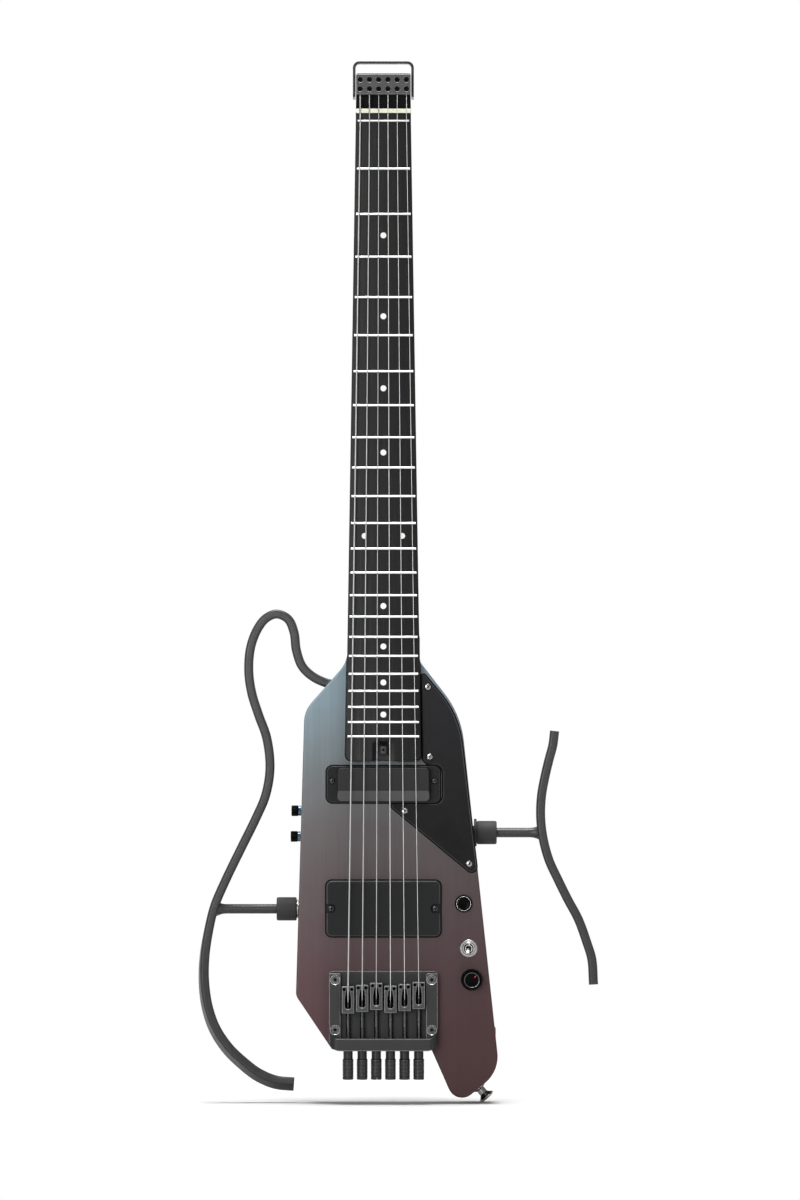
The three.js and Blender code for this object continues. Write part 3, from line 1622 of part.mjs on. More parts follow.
function makeSocket(share, side, flangeDiameter, flangeThickness) {
  const { z } = onBody([0, share]);
  const edge = bodyEdge(z, side) + side * fitGap;
  const radius = socketDiameter / 2;
  const innerRadius = (strutDiameter / 2 + runGap) / Math.cos(Math.PI / sidesFor(flangeDiameter / 2));
  const at = (distance) => edge + side * distance;
  return turnedX(
    [
      [innerRadius, at(flangeThickness)],
      [flangeDiameter / 2, at(flangeThickness)],
      [flangeDiameter / 2, at(0)],
      [radius, at(0)],
      [radius, at(-socketLength)],
      [0, at(-socketLength)],
      [0, at(-strutReach - 2 * fitGap)],
      [innerRadius, at(-strutReach - 2 * fitGap)],
      [innerRadius, at(flangeThickness)],
    ],
    armPlane,
    z,
  );
}

// The scene graph
const guitar = new THREE.Group();

function add(name, made, finish) {
  const mesh = new THREE.Mesh(geometryOf(made), new THREE.MeshStandardMaterial(finish));
  mesh.name = name;
  guitar.add(mesh);
}

add("body", makeBody(), bodyWood);
add("neck", makeNeck(), neckWood);
add("fingerboard", makeFingerboard(), boardWood);
add("truss_rod", makeTrussRod(), steel);
add("truss_rod_wheel", makeRodWheel(), satinBlack);
add("nut", makeNut(), creamNut);
add("head_block", makeHeadBlock(), satinBlack);
add("head_bail", makeHeadBail(), satinBlack);
add("bridge_base", makeBridgeBase(), satinBlack);
for (let i = 0; i < stringCount; i++) {
  add(`saddle_${i + 1}`, makeSaddle(i), satinBlack);
  add(`tuner_screw_${i + 1}`, makeTunerScrew(i), satinBlack);
  add(`string_${i + 1}`, makeString(i), steel);
}
add("pickguard", makePickguard(), blackPlastic);
add("neck_pickup_ring", makeNeckPickupRing(), blackPlastic);
add("neck_pickup_cover", makeNeckPickupCover(), blackPlastic);
add("bridge_pickup_cover", makeBridgePickupCover(), blackPlastic);
add("mode_bezel", makeModeBezel(), glossBlack);
add("mode_button", makeModeButton(), glossBlack);
add("mode_switch", makeModeSwitch(), blackPlastic);
add("toggle_switch", makeToggleBushing(), chrome);
add("toggle_lever", makeToggleLever(), chrome);
add("volume_knob", makeVolumeKnob(), glossBlack);
add("volume_pot", makeVolumePot(), steel);
add("side_knob_upper", makeSideKnob(upperSideKnobShare), glossBlack);
add("side_knob_lower", makeSideKnob(lowerSideKnobShare), glossBlack);
add("side_pot_upper", makeSidePot(upperSideKnobShare), chrome);
add("side_pot_lower", makeSidePot(lowerSideKnobShare), chrome);
add("control_cover", makeControlCover(), blackPlastic);
add("circuit_board", makeCircuitBoard(), circuitGreen);
add("battery", makeBattery(), foilGrey);
add("output_jack", makeOutputJack(), chrome);
add("strap_button_lower", makeLowerStrapButton(), chrome);
add("strap_button_back", makeBackStrapButton(), chrome);
neckScrewPlaces().forEach((place, i) => {
  add(`neck_screw_${i + 1}`, makeNeckScrew(place), steel);
});
add("arm_left", makeLeftArm(), mattBlack);
add("collar_left", makeCollar(leftStrutShare, -1, socketFlangeThickness), roughBlack);
add("socket_left", makeSocket(leftStrutShare, -1, socketFlangeDiameter, socketFlangeThickness), steel);
add("arm_right", makeRightArm(), mattBlack);
add("collar_right", makeCollar(rightStrutShare, 1, rightFlangeThickness), roughBlack);
add("socket_right", makeSocket(rightStrutShare, 1, rightFlangeDiameter, rightFlangeThickness), steel);

// The origin is where the guitar hangs: the middle of the underside of the bail's bar
guitar.position.set(0, -bailMiddle, -(bailTop - bailThickness));

export default guitar;
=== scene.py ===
from math import acos, atan2, ceil, copysign, cos, pi, radians, sin, sqrt, tan

import bmesh
import bpy
from mathutils import Matrix, Vector


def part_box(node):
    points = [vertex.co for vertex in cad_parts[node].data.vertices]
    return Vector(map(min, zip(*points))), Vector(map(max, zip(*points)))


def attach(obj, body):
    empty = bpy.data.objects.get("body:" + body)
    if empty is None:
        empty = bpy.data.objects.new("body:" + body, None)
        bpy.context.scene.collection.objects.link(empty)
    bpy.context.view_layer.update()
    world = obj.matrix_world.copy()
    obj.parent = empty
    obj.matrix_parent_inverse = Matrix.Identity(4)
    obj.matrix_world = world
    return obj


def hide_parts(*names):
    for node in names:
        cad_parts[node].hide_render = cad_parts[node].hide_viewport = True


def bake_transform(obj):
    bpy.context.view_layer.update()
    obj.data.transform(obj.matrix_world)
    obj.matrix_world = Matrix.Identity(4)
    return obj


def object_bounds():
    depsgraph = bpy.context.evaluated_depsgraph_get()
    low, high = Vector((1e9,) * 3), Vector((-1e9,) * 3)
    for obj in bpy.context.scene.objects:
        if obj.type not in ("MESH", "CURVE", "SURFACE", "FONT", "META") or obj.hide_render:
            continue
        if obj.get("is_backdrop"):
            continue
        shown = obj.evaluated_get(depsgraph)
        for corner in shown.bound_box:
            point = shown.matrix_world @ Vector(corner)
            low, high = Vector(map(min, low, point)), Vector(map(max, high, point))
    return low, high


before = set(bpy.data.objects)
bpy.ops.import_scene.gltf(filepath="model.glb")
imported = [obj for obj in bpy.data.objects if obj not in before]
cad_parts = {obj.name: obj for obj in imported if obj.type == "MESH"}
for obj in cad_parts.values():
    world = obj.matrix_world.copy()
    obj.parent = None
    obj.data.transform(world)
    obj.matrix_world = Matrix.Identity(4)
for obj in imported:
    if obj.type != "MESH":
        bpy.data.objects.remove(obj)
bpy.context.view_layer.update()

# Sizes are in millimetres, in the guitar's own frame: the zero fret is at z 0,
# the body's front face at y 0, the player's side at +y and the head at +z
MM = 0.001
BODY_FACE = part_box("body")[0][1] / MM
ZERO_FRET = -43.0
TO_ROW = Matrix.Scale(MM, 4) @ Matrix.Translation((0, BODY_FACE, ZERO_FRET))
ARC_STEP = radians(6)
GAP = 0.05
WELD = 0.002
CUT = 2.0

STRINGS = range(6)
SCALE_LENGTH = 648.0
FRET_COUNT = 22
NUT_SPAN = 35.0
BRIDGE_SPAN = 53.5
STRING_DIAMETERS = (1.17, 0.92, 0.68, 0.46, 0.38, 0.33)
# Where a string goes behind its saddle's face: distance behind the face, height
STRING_DROP = ((3, -14.3), (6, -13.7), (9, -12.7), (12, -11.2))
STRING_LIP = (1.5, -14.4)
# Heights of the first two rings of a string, in and below the clamp, and how finely it is drawn
STRING_START, STRING_SECOND, STRING_SIDES, STRING_STEPS = 27, 14, 10, 10

BOARD_HEAD_WIDTH = 41.8
BOARD_END_WIDTH = 57.4
BOARD_END = -(SCALE_LENGTH * (1 - 2 ** (-FRET_COUNT / 12)) + 18.4)
BOARD_TOP = -9.0
BOARD_BACK = -2.5
BOARD_RADIUS = 305.0
BOARD_CORNER = 4.0
BOARD_EDGE = 1.0
DECK_END = 36.0
DECK_TOP = BOARD_BACK - 2.5
NUT_LOW, NUT_HIGH = 5.75, 9.0
NUT_TOP = -11.1
FRET_WIDTH = 1.7
FRET_HEIGHT = 1.1
FRET_INSET = 1.3
FRET_STATIONS, FRET_SIDES = 14, 10
# How high a fret stands at its end and at the next station, and how far in that one is
FRET_END_HEIGHT, FRET_DRESSED_HEIGHT, FRET_DRESSED = 0.35, 0.85, 0.028
SINGLE_DOTS = (3, 5, 7, 9, 15, 17, 19, 21)
OCTAVE = 12
DOT_RADIUS, SIDE_DOT_RADIUS = 2.25, 0.9
DOUBLE_DOT_ASIDE = 14.2
NECK_SIDES = 24
NECK_SHOULDER = 3.0
HEEL_BACK, HEEL_SQUARENESS = 18.4, 14

BLOCK_WIDTH, BLOCK_LOW, BLOCK_HIGH, BLOCK_FRONT = 41.5, 19.5, 34.9, -16.0
CLAMP_INSET, CLAMP_SCREW_RADIUS, CLAMP_SCREW_HEIGHT = 4.2, 1.85, 1.6
BAIL_HALF, BAIL_THICK, BAIL_FOOT, BAIL_TOP, BAIL_RADIUS = 23.1, 2.0, 16.0, 44.99, 5.0
BAIL_FRONT, BAIL_BACK, BAIL_FOOT_RADIUS = -9.0, 3.0, 6.0

BODY_WIDTH = 152.5
BODY_BACK = 40.0
BODY_EDGE = 1.4
HEEL_ROUND = 14.0
HEEL_DEPTH = 16.0
POCKET_CHAMFER, POCKET_GAP = 0.6, 0.35
# A painted shadow line round the front plates: how far its pad reaches past them and how thick it is
SHADOW_LINE_REACH = 1.0
SHADOW_LINE_HEIGHT = 0.6
# Each corner: share of the width from the centre line, share of the length from the top, radius share
BODY_SHARES = (
    (-0.178, 0, 0), (-0.178, 0.055, 0.22), (-0.393, 0.161, 0.15), (-0.435, 0.781, 0.06),
    (-0.255, 0.898, 0.015), (0.239, 0.898, 0.015), (0.364, 1.022, 0.072), (0.577, 0.945, 0.17),
    (0.386, 0.17, 0.46), (0.182, 0.055, 0.05), (0.181, 0, 0),
)
GUARD_OUTER_SHARES = ((0.47, 0.526, 0.025), (0.373, 0.171, 0.49))
GUARD_SCREWS = ((33.8, -428.8), (35.1, -481.7), (16.2, -522.5), (65.1, -562.8))
NECK_SCREW_SHARES, NECK_SCREW_ASIDE = (0.095, 0.215), 15
SIDE_KNOB_SHARES = {"side_knob_upper": 0.38, "side_knob_lower": 0.436}
JACK_SHARE = 0.866
VOLUME_SHARE, VOLUME_INSET = 0.7454, 13.59
BUTTON_SHARES = (0.399, 0.5805)
TOGGLE_SHARES = (0.4235, 0.678)
KNOB_WELL_RADIUS, KNOB_WELL_DEPTH = 5.0, 6.0
JACK_FLAT_RADIUS, JACK_BORE_RADIUS, JACK_BORE_DEPTH = 6.3, 6.2, 26.0
FLANGE_MARGIN, SOCKET_ROOM = 0.6, 0.4
PLUG_ROOM, PLUG_RADIUS, PLUG_DEPTH, PLUG_END = 1.0, 2.4, 8.0, -33.0
TOGGLE_SWING, TOGGLE_TILT = radians(20), radians(13)

NOTCH_WIDTH = 16.9
NOTCH_LENGTH = 14.7
NOTCH_RADIUS = 3.0
WHEEL_AXIS = BOARD_BACK + GAP + 3.5
WHEEL_DIAMETER = 8.0
WHEEL_LENGTH = 6.6
WHEEL_TOP = BOARD_END + NOTCH_LENGTH - 3.4

BRIDGE_FRONT = 3.9 - SCALE_LENGTH
BRIDGE_LENGTH = 60.2
BRIDGE_REAR = BRIDGE_FRONT - BRIDGE_LENGTH
BODY_TOP = BOARD_END + 94
BODY_LENGTH = BODY_TOP - BRIDGE_REAR + 35
RING_WIDTH, RING_LENGTH, RING_RADIUS = 85.8, 27.6, 4.4
NECK_PICKUP = BOARD_END - 4.2 - RING_LENGTH / 2
RING_SCREW_ASIDE, RING_SCREW_SHIFT = 38.9, 2.5
NECK_COVER_WIDTH, NECK_COVER_LENGTH, NECK_COVER_RADIUS, NECK_COVER_TOP = 69.6, 25.2, 3.0, -9.0
BAND_LENGTH, BAND_TOP = 7.8, -6.8
BRIDGE_PICKUP_WIDTH, BRIDGE_PICKUP_LENGTH, BRIDGE_PICKUP_RADIUS = 86.5, 42.2, 4.2
BRIDGE_PICKUP = BRIDGE_FRONT + 26.3 + BRIDGE_PICKUP_LENGTH / 2
PICKUP_SCREW_ASIDE, PICKUP_NOTCH = BRIDGE_PICKUP_WIDTH / 2 - 3.8, 7.4
GUARD_GAP = 1.2
GUARD_RING_GAP = 2.4
GUARD_CORNER, GUARD_RING_CORNER = 1.5, 6.3
COVER_WALL, COVER_THICK, COVER_GAP, COVER_SCREW_INSET = 3.2, 1.8, 0.3, 4.6
COVER_TOP_WIDTH, COVER_LOW_WIDTH = 26.1, 32.9
COVER_RADIUS = 6.1

BRIDGE_HALF = 41.2
BRIDGE_FLOOR = 2.5
BRIDGE_SHY = 0.04
RAIL_WIDTH = 8.8
RAIL_HEIGHT = 8.0
RAIL_INSET = 1.6
RAIL_SCREW_EDGE, RAIL_SCREW_SHIFT, RAIL_SCREW_REACH = 4.6, 4.7, 19
WALL_HEIGHT = 14.0
WALL_FACE = BRIDGE_REAR + 9.4
WALL_RETURN = 7.5
WALL_HORN = 2.6
REAR_RADIUS = 8.5
SCREW_AXIS = -6.5
BARREL_RADIUS = 4.25
SHANK_LENGTH, BARREL_LENGTH = 6.3, 15.5
RIB_COUNT, RIB_DEPTH = 13, 0.45
DRIVER_SLOT_WIDTH, DRIVER_SLOT_DEPTH = 1.3, 1.6
DRIVER_SLOT_TURNS = (0.9, 1.45, 0.2, 1.571, 1.35, 0.5)
ROD_RADIUS, ROD_LENGTH, ROD_BORE = 1.8, 42, 1.95
THREAD_PITCH, THREAD_DEPTH = 0.7, 0.3
SADDLE_SETBACKS = tuple(7.3 * share for share in (1, 0.84, 0.63, 0.93, 0.75, 0.53))
SADDLE_WIDTH = 9.4
SADDLE_LENGTH = 20.5
SADDLE_TOP = -13.4
SADDLE_BASE = -3.0
SADDLE_SLOT = {"start": 3.6, "flare_end": 9.4, "end": 17.2, "mouth": 1.3, "wide": 2.35}
SADDLE_HOLE_ASIDE, SADDLE_HOLE_BACK = 2.85, 2.3

ARM_PLANE = 20.0
BAR_WIDTH = 6.9
BAR_DEPTH = 12.6
BAR_CORNER = 2.1
STRUT_DIAMETER = 7.3
STRUT_REACH = 13.5
STRUT_BORE = 3.85
SOCKET_RADIUS = 5.2
SOCKET_DEPTH = 17.0
COLLAR_RADIUS = 8.9
COLLAR_LENGTH = 15.2
COLLAR_GAP = 0.35
LEFT_STRUT = BODY_TOP - 0.5938 * BODY_LENGTH
RIGHT_STRUT = BODY_TOP - 0.4276 * BODY_LENGTH
# Each socket: side of the body, height, radius and thickness of its flange, its finish
SOCKETS = {
    "left": (-1, LEFT_STRUT, 7.0, 1.2, "steel"),
    "right": (1, RIGHT_STRUT, 10.5, 2.0, "rough_black"),
}
LEFT_REACH, LEFT_TOP, LEFT_HEIGHT = 136.4, -BODY_TOP - 17, 357.3
RIGHT_REACH, RIGHT_TOP, RIGHT_HEIGHT = 159.98, 71.9 - BODY_TOP, 192.5
LEFT_TWIST = radians(-30)
PLUG_TAPER = 0.25
# Middle of each bar: share of its reach from the centre line, share of its height from its top
LEFT_ROUTE_SHARES = (
    (-0.498, 1), (-0.6, 0.996), (-0.7, 0.98), (-0.786, 0.955), (-0.869, 0.924), (-0.941, 0.882),
    (-0.982, 0.836), (-1, 0.785), (-0.998, 0.734), (-0.979, 0.683), (-0.941, 0.622), (-0.88, 0.567),
    (-0.791, 0.497), (-0.711, 0.435), (-0.656, 0.385), (-0.632, 0.327), (-0.65, 0.264),
    (-0.695, 0.215), (-0.733, 0.169), (-0.75, 0.124), (-0.741, 0.073), (-0.703, 0.033),
    (-0.654, 0.009), (-0.594, 0), (-0.531, 0.011), (-0.498, 0.039), (-0.485, 0.077),
    (-0.453, 0.111), (-0.392, 0.1335), (-0.309, 0.1475), (-0.246, 0.1505),
)
RIGHT_ROUTE_SHARES = (
    (0.813, 0), (0.805, 0.055), (0.786, 0.115), (0.768, 0.178), (0.751, 0.256), (0.747, 0.34),
    (0.758, 0.421), (0.786, 0.508), (0.829, 0.586), (0.876, 0.665), (0.926, 0.743), (0.966, 0.834),
    (0.99, 0.901), (0.998, 1),
)
LEFT_WAY = (LEFT_ROUTE_SHARES, LEFT_REACH, LEFT_TOP, LEFT_HEIGHT)
RIGHT_WAY = (RIGHT_ROUTE_SHARES, RIGHT_REACH, RIGHT_TOP, RIGHT_HEIGHT)

# The strap buttons, from the screw's tip to the edge of its recess: radius, height
STRAP_FOOT = ((0, -14), (1.8, -14), (1.8, 0), (4.6, 0), (5.0, 0.3), (5.0, 0.8), (4.6, 1.2), (3.5, 1.7))
STRAP_NECK_RADIUS, STRAP_NECK_LOW, STRAP_NECK_HIGH = 3.3, 1.9, 5.4
STRAP_HEAD = (
    (3.4, 5.9), (4.2, 6.8), (6.1, 8.2), (6.5, 8.7), (6.45, 9.3), (5.8, 9.9), (4.6, 10.4), (3.2, 10.6),
)

# Stage: the photograph's height in millimetres, the camera, the world, the floor and the lamps
PHOTO_HEIGHT = 908.4
SENSOR_HEIGHT = 36.0
CAMERA_DISTANCE = 7000.0
CAMERA_AIM = (12.6, -9.0, -362.9)
LAMP_AIM = (0, 0, -400)
WORLD_LEVEL, WORLD_OVERHEAD = 0.42, 0.04
MIRRORED_FRONT = 0.22
FLOOR_LEVEL = 0.75
FLOOR_NEAR, FLOOR_FAR, FLOOR_HALF = 0.15, 0.9, 30.0
FLOOR_DROP = 0.0005
# Each lamp: name, place, size, watts
LAMPS = (
    ("key", (-1000, -2700, -50), (1300, 1500), 50.0),
    ("fill", (1900, -2300, -100), (1500, 1800), 18.0),
    ("top", (0, -100, 2600), (1600, 1600), 165.0),
)


# Materials
def srgb(*levels):
    """A colour given as it shows on a screen, 0 to 255, as the linear values of a shader"""
    shares = [level / 255 for level in levels]
    return tuple(s / 12.92 if s <= 0.04045 else ((s + 0.055) / 1.055) ** 2.4 for s in shares) + (1.0,)


def grey(level):
    """The same level in all three channels"""
    return srgb(level, level, level)


def scaled(colour, factor):
    """A colour made brighter or darker by a factor"""
    return tuple(channel * factor for channel in colour[:3]) + (1.0,)


def tint(*factors):
    """A colour to multiply another one by, channel by channel"""
    return (factors * 3)[:3] + (1.0,)


class Graph:
    """The nodes of a material or a world, whose patterns follow places in the part's own frame"""

    def __init__(self, owner, shader, sockets):
        owner.use_nodes = True
        self.owner = owner
        self.tree = owner.node_tree
        self.shader = self.tree.nodes[shader]
        for socket, value in sockets.items():
            self.feed(self.shader.inputs[socket], value)

    def feed(self, socket, value):
        if isinstance(value, bpy.types.NodeSocket):
            self.tree.links.new(value, socket)
        else:
            socket.default_value = value

    def node(self, kind, inputs, **settings):
        made = self.tree.nodes.new(f"ShaderNode{kind}")
        for key, value in settings.items():
            setattr(made, key, value)
        for key, value in inputs.items():
            self.feed(made.inputs[key], value)
        return made

    def place(self, scale=(1, 1, 1)):
        spot = self.node("TexCoord", {}).outputs["Object"]
        return self.node("VectorMath", {0: spot, 1: scale}, operation="MULTIPLY").outputs[0]

    def noise(self, size, stretch=(1, 1, 1), detail=3.0):
        """Cloudy noise, 0 to 1, whose features are about size millimetres wide"""
        place = self.place([1 / (size * MM * along) for along in stretch])
        inputs = {"Vector": place, "Scale": 1.0, "Detail": detail, "Roughness": 0.6}
        return self.node("TexNoise", inputs).outputs["Fac"]

    def spread(self, value, low, high, start=0.3, end=0.7, **settings):
        """A value from start to end as one from low to high"""
        inputs = {"Value": value, "From Min": start, "From Max": end, "To Min": low, "To Max": high}
        return self.node("MapRange", inputs, **settings).outputs["Result"]

    def pick(self, factor, low, high):
        return self.spread(factor, low, high, 0.0, 1.0)

    def math(self, operation, a, b):
        return self.node("Math", {0: a, 1: b}, operation=operation).outputs[0]

    def axis(self, index, start, end):
        """0 to 1 between two places, in millimetres of the guitar's frame, along X, Y or Z"""
        offset = (0, BODY_FACE, ZERO_FRET)[index]
        place = self.node("SeparateXYZ", {0: self.place()}).outputs[index]
        return self.spread(place, 0.0, 1.0, (start + offset) * MM, (end + offset) * MM)

    def ramp(self, factor, stops):
        made = self.node("ValToRGB", {"Fac": factor})
        elements = made.color_ramp.elements
        for element, (spot, colour) in zip(elements, (stops[0], stops[-1])):
            element.position = spot
            element.color = colour
        for spot, colour in stops[1:-1]:
            elements.new(spot).color = colour
        return made.outputs["Color"]

    def mix(self, factor, a, b, blend="MIX"):
        made = self.node("Mix", {}, data_type="RGBA", blend_type=blend)
        for index, value in ((0, factor), (6, a), (7, b)):
            self.feed(made.inputs[index], value)
        return made.outputs[2]

    def times(self, a, b):
        return self.mix(1.0, a, b, "MULTIPLY")

    def edges(self, radius):
        """1 on the edges of the piece, 0 on its flats: the mask for painted edge highlights"""
        round_normal = self.node("Bevel", {"Radius": radius * MM}, samples=4).outputs[0]
        normal = self.node("NewGeometry", {}).outputs["Normal"]
        pair = {0: round_normal, 1: normal}
        likeness = self.node("VectorMath", pair, operation="DOT_PRODUCT").outputs["Value"]
        return self.spread(likeness, 0.0, 1.0, 0.995, 0.9)

    def rays(self, *kinds):
        """1 for rays of the given kinds"""
        path = self.node("LightPath", {})
        first, *others = (path.outputs[f"Is {kind} Ray"] for kind in kinds)
        for other in others:
            first = self.math("MAXIMUM", first, other)
        return first

    def bump(self, height, strength, depth=0.05):
        inputs = {"Height": height, "Strength": strength, "Distance": depth * MM}
        self.feed(self.shader.inputs["Normal"], self.node("Bump", inputs).outputs[0])

    def finish(self, colour, roughness):
        self.feed(self.shader.inputs["Base Color"], colour)
        self.feed(self.shader.inputs["Roughness"], roughness)
        return self.owner


def surface(name, sockets):
    """The graph of a new material"""
    return Graph(bpy.data.materials.new(name), "Principled BSDF", sockets)


def coated(name, colour, roughness, grain=0.35, bump=0.25, edge=1.6, metallic=0.0, level=0.35):
    """Paint, plating or moulded plastic: cloudy colour, uneven sheen, fine grain, and edges painted paler as
    a painted highlight
    """
    graph = surface(name, {"Metallic": metallic, "Specular IOR Level": level})
    base = graph.mix(graph.noise(14), scaled(colour, 0.86), scaled(colour, 1.16))
    speckle = graph.noise(grain, detail=4)
    base = graph.mix(graph.spread(speckle, 0.0, 0.35), base, scaled(colour, 1.35))
    # Painted highlight: the edges are paler by the edge factor
    base = graph.mix(graph.edges(0.35), base, scaled(colour, edge))
    graph.bump(speckle, bump)
    rough = graph.spread(graph.noise(6), roughness - 0.06, roughness + 0.06)
    return graph.finish(base, rough)


def plated(name, colour, roughness, stretch=(1, 1, 1), grain=0.5, smear=0.35):
    """Bare or plated metal, with faint drawing marks and smears"""
    graph = surface(name, {"Metallic": 1.0})
    marks = graph.noise(grain, stretch, detail=4)
    base = graph.mix(marks, scaled(colour, 0.88), scaled(colour, 1.06))
    graph.bump(marks, 0.12, 0.02)
    smears = graph.spread(graph.noise(5), roughness * (1 - smear), roughness * (1 + smear))
    return graph.finish(base, smears)


def body_finish():
    """Satin lacquer that fades from blue-grey at the neck to brown at the horn, over upright grain, with
    painted light: lighter on the left, darker to the right, and paler painted highlight on the rounded edges
    """
    graph = surface("body_wood", {"Specular IOR Level": 0.3})
    fade = graph.axis(2, BODY_TOP, BODY_TOP - BODY_LENGTH)
    fade = graph.math("ADD", fade, graph.spread(graph.noise(60), -0.02, 0.02))
    base = graph.ramp(fade, (
        (0.0, srgb(142, 165, 176)), (0.16, srgb(129, 148, 157)), (0.28, srgb(110, 118, 120)),
        (0.42, srgb(95, 90, 91)), (0.54, srgb(83, 72, 74)), (0.7, srgb(76, 54, 57)),
        (0.84, srgb(70, 39, 42)), (1.0, srgb(62, 28, 30)),
    ))
    # Painted light: lighter at the left, darker towards the right, as the light falls from the left
    across = graph.axis(0, -0.44 * BODY_WIDTH, 0.56 * BODY_WIDTH)
    base = graph.times(base, graph.ramp(across, (
        (0.0, tint(1.11, 1.12, 1.12)), (0.45, tint(0.7, 0.68, 0.68)), (1.0, tint(0.69, 0.58, 0.58)),
    )))
    grain = graph.noise(0.6, (1, 1, 160), detail=4)
    bands = graph.noise(3.2, (1, 1, 90), detail=3)
    for pattern, share in ((grain, 0.55), (bands, 0.5)):
        darker = graph.times(base, tint(0.8, 0.79, 0.8))
        base = graph.mix(graph.spread(pattern, 0.0, share), base, darker)
    # Painted highlight: the rounded edges are paler
    paler = graph.mix(0.5, graph.times(base, tint(2.3)), grey(150))
    base = graph.mix(graph.edges(0.8), base, paler)
    graph.bump(grain, 0.1, 0.03)
    return graph.finish(base, graph.spread(graph.noise(3, (1, 1, 20)), 0.34, 0.46))


def board_finish():
    """Nearly black close-grained wood with long streaks and fine pores, paler on the low strings' side as
    painted light from the left
    """
    graph = surface("board_wood", {"Specular IOR Level": 0.16})
    streaks = graph.noise(1.6, (1, 1, 26), detail=5)
    pores = graph.noise(0.16, (1, 1, 14), detail=2)
    base = graph.ramp(streaks, ((0.25, srgb(13, 13, 14)), (0.55, grey(22)), (0.8, srgb(38, 37, 37))))
    base = graph.mix(graph.spread(pores, 0.0, 0.6, 0.55, 0.75), base, srgb(16, 15, 15))
    # Painted light: much paler at the low strings' edge, darker at the far edge, as lit from the left
    across = graph.axis(0, -BOARD_END_WIDTH / 2, BOARD_END_WIDTH / 2)
    base = graph.times(base, graph.ramp(across, ((0.0, tint(3.2)), (0.5, tint(1.2)), (1.0, tint(0.7)))))
    graph.bump(pores, 0.25, 0.04)
    return graph.finish(base, graph.spread(streaks, 0.42, 0.6))


def neck_finish():
    """Black satin stain under which upright grain shows faintly"""
    graph = surface("neck_wood", {"Specular IOR Level": 0.3})
    grain = graph.noise(0.7, (1, 1, 60), detail=4)
    base = graph.mix(graph.spread(grain, 0.0, 1.0), srgb(36, 36, 37), srgb(54, 53, 53))
    graph.bump(grain, 0.15, 0.03)
    return graph.finish(base, graph.spread(graph.noise(9), 0.4, 0.54))


def wire_finish(name, low, high, winding=None):
    """String wire: drawn smooth, or with a fine winding round its core"""
    graph = surface(name, {"Metallic": 1.0})
    marks = graph.noise(2, (1, 1, 8))
    base = graph.mix(marks, srgb(low, low + 1, low), srgb(high, high + 1, high))
    if winding:
        inputs = {"Vector": graph.place(), "Scale": 480.0, "Distortion": 0.0}
        bands = graph.node("TexWave", inputs, bands_direction="Z").outputs["Fac"]
        base = graph.mix(bands, srgb(winding, winding + 1, winding), base)
        graph.bump(bands, 0.2, 0.03)
    return graph.finish(base, graph.spread(marks, 0.42, 0.5))


def guard_finish():
    """Satin black plastic, a little paler towards the neck"""
    graph = surface("guard_plastic", {"Specular IOR Level": 0.1})
    fade = graph.axis(2, GUARD_SCREWS[0][1], GUARD_SCREWS[-1][1])
    base = graph.mix(fade, srgb(32, 32, 34), srgb(8, 8, 9))
    clouds = graph.noise(18)
    base = graph.mix(graph.spread(clouds, 0.0, 0.25), base, srgb(40, 40, 42))
    graph.bump(graph.noise(0.3, detail=4), 0.12)
    return graph.finish(base, graph.spread(clouds, 0.36, 0.48))


def arm_finish():
    """Matt black coat that shows darker towards the foot of the arms"""
    graph = surface("arm_metal", {"Metallic": 0.3, "Specular IOR Level": 0.4})
    fade = graph.axis(2, BODY_TOP, BODY_TOP - BODY_LENGTH)
    base = graph.mix(fade, grey(53), grey(31))
    speckle = graph.noise(0.5, detail=4)
    base = graph.mix(graph.spread(speckle, 0.0, 0.3), base, grey(72))
    graph.bump(speckle, 0.1)
    return graph.finish(base, graph.spread(graph.noise(8), 0.34, 0.46))


def circuit_finish():
    """Green lacquer with paler tracks"""
    graph = surface("circuit_board", {"Specular IOR Level": 0.5})
    inputs = {"Vector": graph.place(), "Scale": 160.0, "Mortar Size": 0.03}
    tracks = graph.node("TexBrick", inputs).outputs["Fac"]
    base = graph.mix(tracks, srgb(24, 78, 44), srgb(60, 122, 74))
    graph.bump(tracks, 0.3)
    return graph.finish(base, graph.spread(graph.noise(3), 0.35, 0.5))
